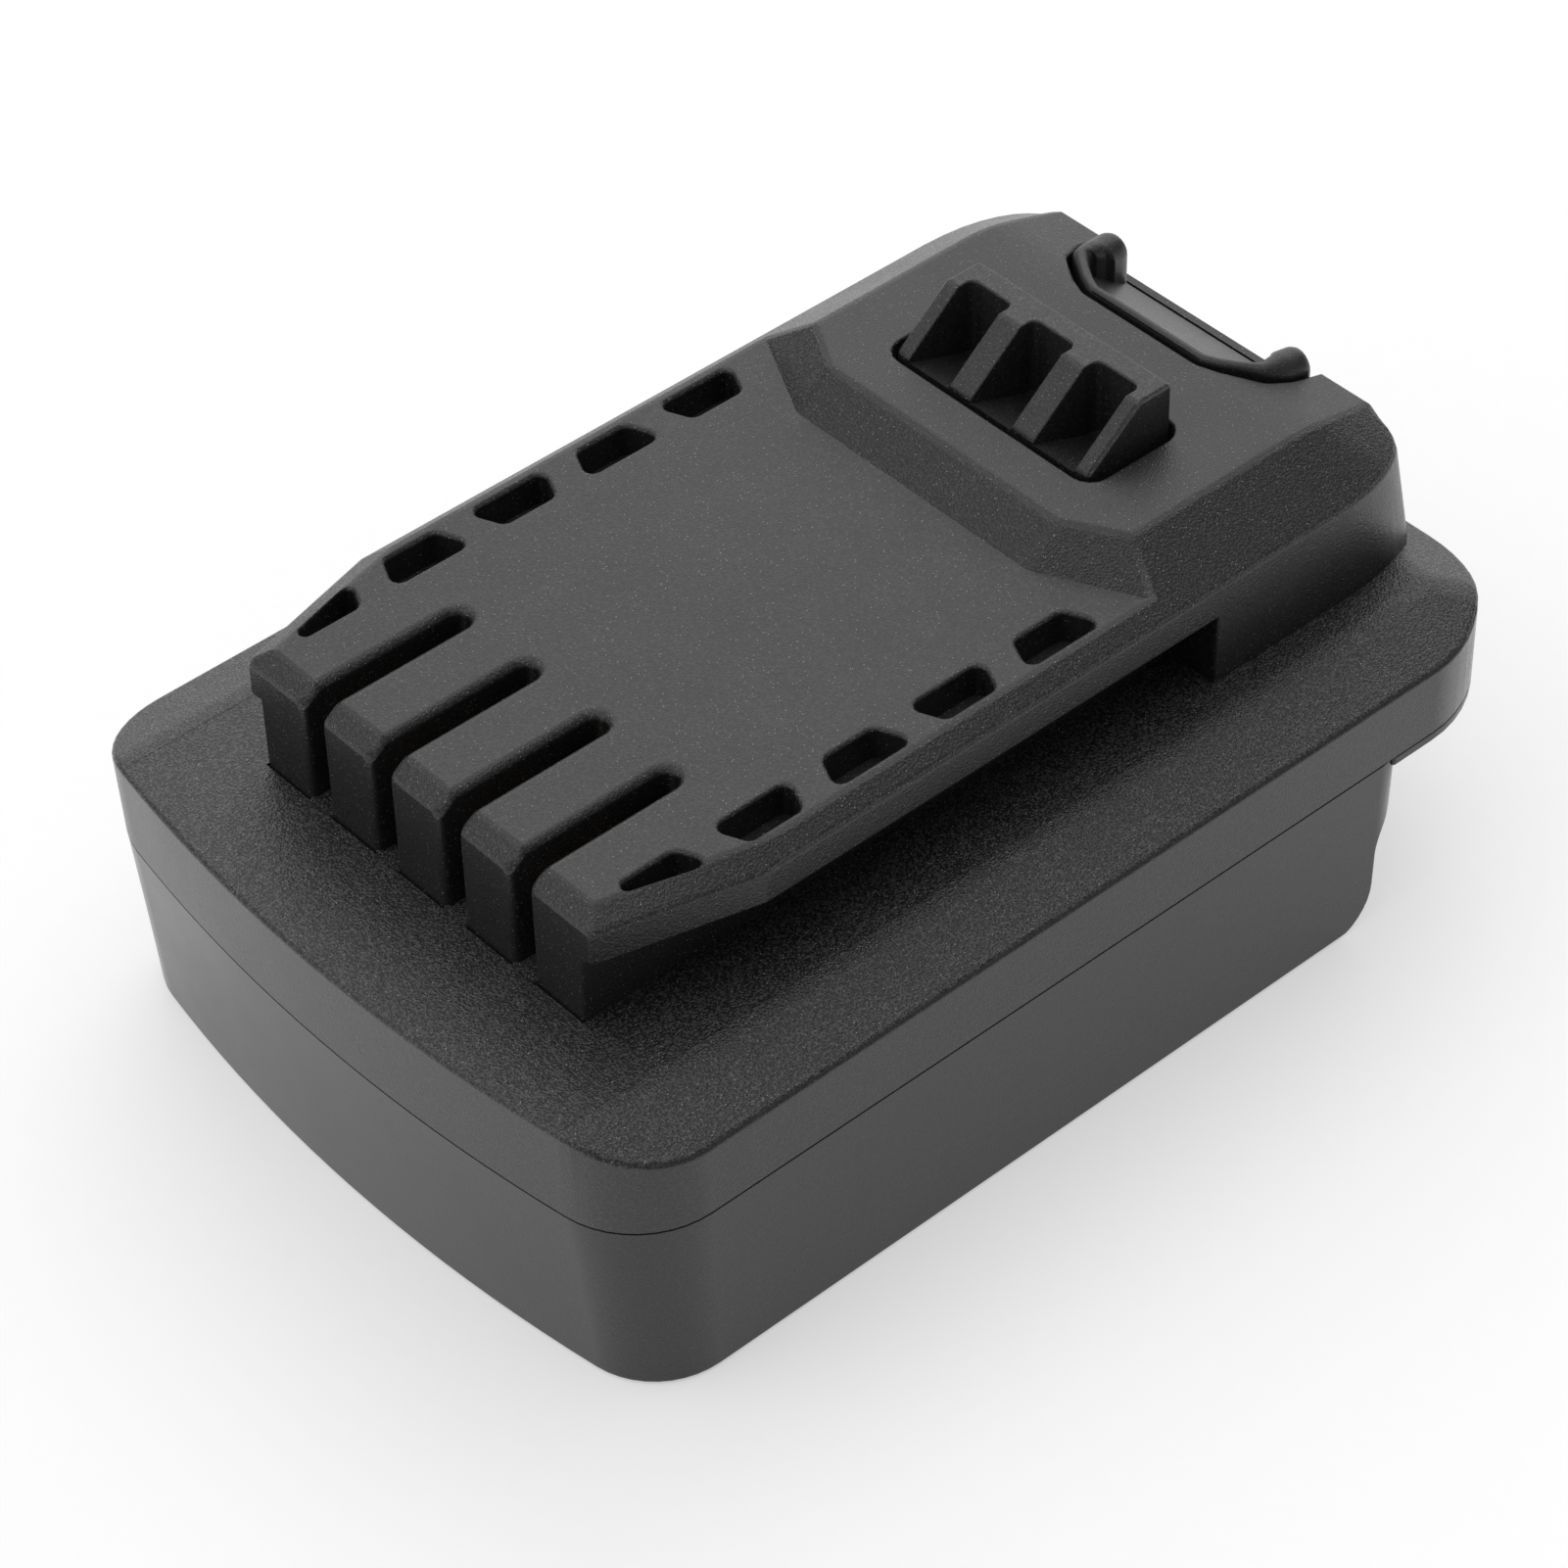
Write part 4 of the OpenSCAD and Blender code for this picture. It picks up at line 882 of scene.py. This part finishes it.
def moulded(name, tone, rough, grain, depth, contrast=0.3, specks=0.0, ripple=0.0):
    """Black plastic out of a textured mould: pebbles whose tops are painted lighter as glints and whose
    hollows are painted darker as shade, bright specks that are partly dust and partly painted glints, and a
    faint mottle.
    """
    material, shader, place = finish(name, IOR=PLASTIC_IOR)
    pebble = place.noise(grain, 1.0, 0.5)
    mottle = place.noise(MOTTLE_SIZE, 3.0)
    crown = pebble.step(0.42, 0.66)
    # Scattered bright specks, partly dust and partly painted glints.
    speck = (1 - place.cells(SPECK_GAP).step(0.07, 0.13)) * specks
    # Painted shade in the pebbles' hollows and painted glints on their tops.
    hollow_shade_tone = grey(tone * (1 - contrast), COOL_BLACK)
    crown_glint_tone = grey(tone * (1 + CROWN_GLINT_LIFT * contrast), COOL_BLACK)
    colour = (mottle * 0.3).mix(crown.mix(hollow_shade_tone, crown_glint_tone), grey(tone, COOL_BLACK))
    feed(shader, "Base Color", speck.mix(colour, DUST_AND_GLINT))
    feed(shader, "Roughness", rough + (mottle - 0.5) * 0.12 - (crown - 0.5) * 0.2 * contrast)
    height = pebble
    if ripple:
        height = pebble + place.noise(grain * 4.5, 1.0) * ripple
    raise_surface(shader, height, depth)
    return material


def metal(name, colour, rough, draw):
    """Plain metal with drawing lines along one way and a little tarnish."""
    material, shader, place = finish(name, Metallic=1.0)
    lines = place.noise(0.9, 4.0, 0.7, draw)
    tarnish = place.noise(3.0, 4.0)
    worn = grey(0.72, colour)
    feed(shader, "Base Color", (tarnish.step(0.35, 0.75) * 0.7).mix(grey(1.0, colour), worn))
    feed(shader, "Roughness", rough + (lines - 0.5) * 0.2 + (tarnish - 0.5) * 0.2)
    raise_surface(shader, lines, 0.01)
    return material


def circuit(name):
    """Green lacquer over copper tracks."""
    material, shader, place = finish(name, Coat_Roughness=0.2)
    wide = place.part(0) * 450 + place.noise(6.0, 0.0) * 3.0
    track = wide.sum("PINGPONG", wide, 1.0).step(0.62, 0.7) * place.noise(5.0, 0.0).step(0.45, 0.5)
    weave = place.noise(0.5, 2.0)
    lacquer, copper_below = (0.008, 0.085, 0.03, 1), (0.05, 0.24, 0.09, 1)
    feed(shader, "Base Color", (track * 0.6 + weave * 0.2).mix(lacquer, copper_below))
    feed(shader, "Roughness", 0.34 + weave * 0.14)
    feed(shader, "Coat Weight", 0.35 + track * 0.2)
    raise_surface(shader, track + weave * 0.2, 0.02)
    return material


def sleeved_can(name, top):
    """Capacitor in a dark sleeve, with a bare end and a pale stripe down one side."""
    material, shader, place = finish(name)
    bare = place.part(2).step(top - 0.6 * MM, top - 0.4 * MM)
    stripe = place.part(1).step(2.0 * MM, 2.1 * MM)
    mottle = place.noise(1.2, 2.0)
    sleeve = stripe.mix((0.012, 0.018, 0.05, 1), (0.4, 0.42, 0.46, 1))
    feed(shader, "Base Color", bare.mix(sleeve, (0.62, 0.63, 0.65, 1)))
    feed(shader, "Metallic", bare)
    feed(shader, "Roughness", 0.28 + mottle * 0.16)
    raise_surface(shader, mottle, 0.01)
    return material


def insulation(name, colour):
    """Soft wire covering, a little dusty."""
    material, shader, place = finish(name)
    mottle = place.noise(0.8, 3.0)
    feed(shader, "Base Color", mottle.mix(grey(0.75, colour), grey(1.2, colour)))
    feed(shader, "Roughness", 0.42 + mottle * 0.16)
    raise_surface(shader, mottle, 0.015)
    return material


deck_grain = moulded("deck_grain", 0.024, 0.25, 0.20, 0.12, contrast=0.75, specks=0.8)
slope_grain = moulded("slope_grain", 0.019, 0.28, 0.20, 0.10, contrast=0.5, specks=0.8)
foot_satin = moulded("foot_satin", 0.019, 0.38, 0.20, 0.05, contrast=0.3, specks=0.7)
edge_peel = moulded("edge_peel", 0.014, 0.29, 0.24, 0.04, contrast=0.25, specks=0.7, ripple=0.3)
wall_satin = moulded("wall_satin", 0.026, 0.23, 0.22, 0.03, specks=0.3)
skirt_satin = moulded("skirt_satin", 0.024, 0.21, 0.24, 0.02, contrast=0.2, specks=0.15)
latch_matte = moulded("latch_matte", 0.020, 0.36, 0.20, 0.05, contrast=0.4, specks=0.7)
# Lighter colour on the latch's top edges is a painted highlight, with a lower roughness.
latch_edge_highlight = moulded("latch_edge_highlight", 0.060, 0.26, 0.20, 0.03, contrast=0.3, specks=0.4)
button_matte = moulded("button_matte", 0.018, 0.36, 0.20, 0.03, specks=0.3)
seam_shade = moulded("seam_shade", 0.004, 0.8, 0.25, 0.02)
carrier_nylon = moulded("carrier_nylon", 0.022, 0.5, 0.25, 0.03)
chip_epoxy = moulded("chip_epoxy", 0.018, 0.55, 0.12, 0.02)

NODE_FINISHES = {
    metal("spring_wire", (0.60, 0.61, 0.63), 0.28, (1, 1, 6)): ("latch_spring_left", "latch_spring_right"),
    metal("contact_brass", (0.78, 0.58, 0.28), 0.3, (1, 1, 5)): (
        "tool_contact_1", "tool_contact_2", "tool_contact_3", "tool_contact_4",
        "positive_blade", "negative_blade"),
    metal("screw_zinc", (0.52, 0.53, 0.55), 0.32, (1, 1, 5)): (
        "shell_screws", "lip_plate_screws", "board_screws", "terminal_block_screws"),
    circuit("board_lacquer"): ("circuit_board",),
    chip_epoxy: ("control_chip", "transistor_left", "transistor_right"),
    sleeved_can("capacitor_sleeve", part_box("capacitor")[1][2]): ("capacitor",),
    carrier_nylon: ("contact_carrier", "battery_terminal_block"),
    insulation("red_cover", (0.5, 0.02, 0.02)): ("positive_wire",),
    insulation("black_cover", (0.018, 0.018, 0.019)): ("negative_wire",),
}
for material, names in NODE_FINISHES.items():
    for name in names:
        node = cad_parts[name]
        for place in node.material_slots:
            place.material = material


SHELL_FINISHES = (wall_satin, deck_grain, foot_satin, edge_peel, seam_shade, slope_grain)
ON_WALL, ON_DECK, ON_FOOT_TOP, ON_FOOT_EDGE, AT_SEAM, ON_SLOPE = range(len(SHELL_FINISHES))


def shell_finish(p, normal):
    """Which of the upper shell's finishes a face has."""
    if p.z < SEAM_Z + 0.2 and normal.z < -0.5:
        return AT_SEAM
    if p.z < DECK_Z - BAND_DROP + 0.2 and abs(normal.z) < 0.6:
        return ON_WALL
    if p.z < DECK_Z + 0.3:
        return ON_DECK
    if normal.z > 0.93:
        return ON_FOOT_TOP
    return ON_SLOPE if normal.z > 0.25 else ON_FOOT_EDGE


def skirt_finish(p, normal):
    """The finishes of the lower shell and the lip plate: the walls, and the dark of the gap above them."""
    return 1 if p.z > SEAM_Z - 0.3 and normal.z > 0.3 else 0


def latch_finish(p, normal):
    """The latch's finishes: its faces, and the edges round its top, painted lighter as a highlight."""
    rim = p.x > LATCH_REAR - 0.3 or abs(p.y) > LATCH_HALF - 0.3
    return 1 if rim and p.z > BLOCK_Z + 0.3 and 0.2 < normal.z < 0.97 else 0


def lay_on(piece, finishes, rule=None):
    """Puts the finishes on a piece, face by face where a rule says which."""
    piece.data.materials.clear()
    for material in finishes:
        piece.data.materials.append(material)
    if rule is None:
        return
    mesh = edit(piece, "FACE")
    groups = {}
    for face in mesh.faces:
        groups.setdefault(rule(face.calc_center_median(), face.normal), []).append(face.index)
    for index, faces in groups.items():
        mesh = bmesh.from_edit_mesh(piece.data)
        mesh.faces.ensure_lookup_table()
        bpy.ops.mesh.select_all(action="DESELECT")
        for face in faces:
            mesh.faces[face].select_set(True)
        bmesh.update_edit_mesh(piece.data)
        piece.active_material_index = index
        bpy.ops.object.material_slot_assign()
    close_edit()


SHARP_TURN, BUTTON_SHARP_TURN = 32, 60
for make, body, node, slot, finishes, rule in (
    (upper_shell, "housing", "upper_shell", "shell_plastic", SHELL_FINISHES, shell_finish),
    (lower_shell, "housing", "lower_shell", "shell_plastic", (skirt_satin, seam_shade), skirt_finish),
    (rear_lip_plate, "housing", "rear_lip_plate", "shell_plastic", (skirt_satin, seam_shade), skirt_finish),
    (latch, "latch_unit", "latch", "latch_plastic", (latch_matte, latch_edge_highlight), latch_finish),
    (release_button, "latch_unit", "release_button", "latch_plastic", (button_matte,), None),
):
    piece = make()
    lay_on(piece, finishes, rule)
    shade(piece, BUTTON_SHARP_TURN if make is release_button else SHARP_TURN)
    to_metres(piece)
    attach(piece, body)
    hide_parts(node)


# Floor, light and camera

def paper():
    """White paper that stays white in the distance and keeps the shadow."""
    material, shader, place = finish("floor_paper", Roughness=0.8, Specular_IOR_Level=0.1,
                                     Emission_Strength=0.44)
    light_path = material.node_tree.nodes.new("ShaderNodeLightPath")
    seen = Wire(material.node_tree, light_path.outputs["Is Camera Ray"])
    for ray in ("Is Glossy Ray", "Is Transmission Ray"):
        seen = seen.sum("MAXIMUM", seen, Wire(material.node_tree, light_path.outputs[ray]))
    fibre = place.noise(2.0, 2.0)
    feed(shader, "Base Color", fibre.mix(grey(0.64), grey(0.67)))
    feed(shader, "Emission Color", seen.mix(grey(0.0), grey(1.0)))
    return material


FLOOR_SIZE = 12
bpy.ops.object.select_all(action="DESELECT")
bpy.ops.mesh.primitive_plane_add(size=FLOOR_SIZE)
floor = named("floor")
floor.data.materials.append(paper())


def soft_sun(name, toward, spread, power):
    """A wide even light from a direction."""
    bpy.ops.object.select_all(action="DESELECT")
    bpy.ops.object.light_add(type="SUN")
    light = bpy.context.object
    light.name = name
    light.data.name = name
    light.data.angle = radians(spread)
    light.data.energy = power
    light.rotation_mode = "QUATERNION"
    light.rotation_quaternion = (-Vector(toward)).to_track_quat("-Z", "Y")


soft_sun("overhead_panel", (0.1, 0.25, 0.95), 90, 1.3)
soft_sun("backdrop", (0.66, 0.62, 0.34), 70, 0.95)
soft_sun("left_panel", (-0.8, 0.35, 0.5), 60, 0.5)

world = bpy.data.worlds.new("studio")
bpy.context.scene.world = world
world.use_nodes = True
sky = world.node_tree.nodes["Background"]
sky.inputs["Color"].default_value = grey(1)
sky.inputs["Strength"].default_value = 0.28

AIM = (-0.0209, -0.0214, 0.0429)
AZ, EL, ROLL, DISTANCE = radians(40.52), radians(42.72), radians(1.59), 0.420
SENSOR, FOCAL_PIXELS, FRAME_PIXELS = 36, 5105.0, 1601.0
way = Vector((sin(AZ) * cos(EL), cos(AZ) * cos(EL), -sin(EL)))
bpy.ops.object.select_all(action="DESELECT")
bpy.ops.object.camera_add(location=Vector(AIM) - way * DISTANCE)
camera = bpy.context.object
camera.rotation_mode = "QUATERNION"
camera.rotation_quaternion = Quaternion(way, ROLL) @ way.to_track_quat("-Z", "Y")
camera.data.sensor_width = SENSOR
camera.data.lens = FOCAL_PIXELS / FRAME_PIXELS * SENSOR
camera.data.clip_start = 0.01
camera.data.clip_end = 20
bpy.context.scene.camera = camera
bpy.context.scene.view_settings.view_transform = "Standard"
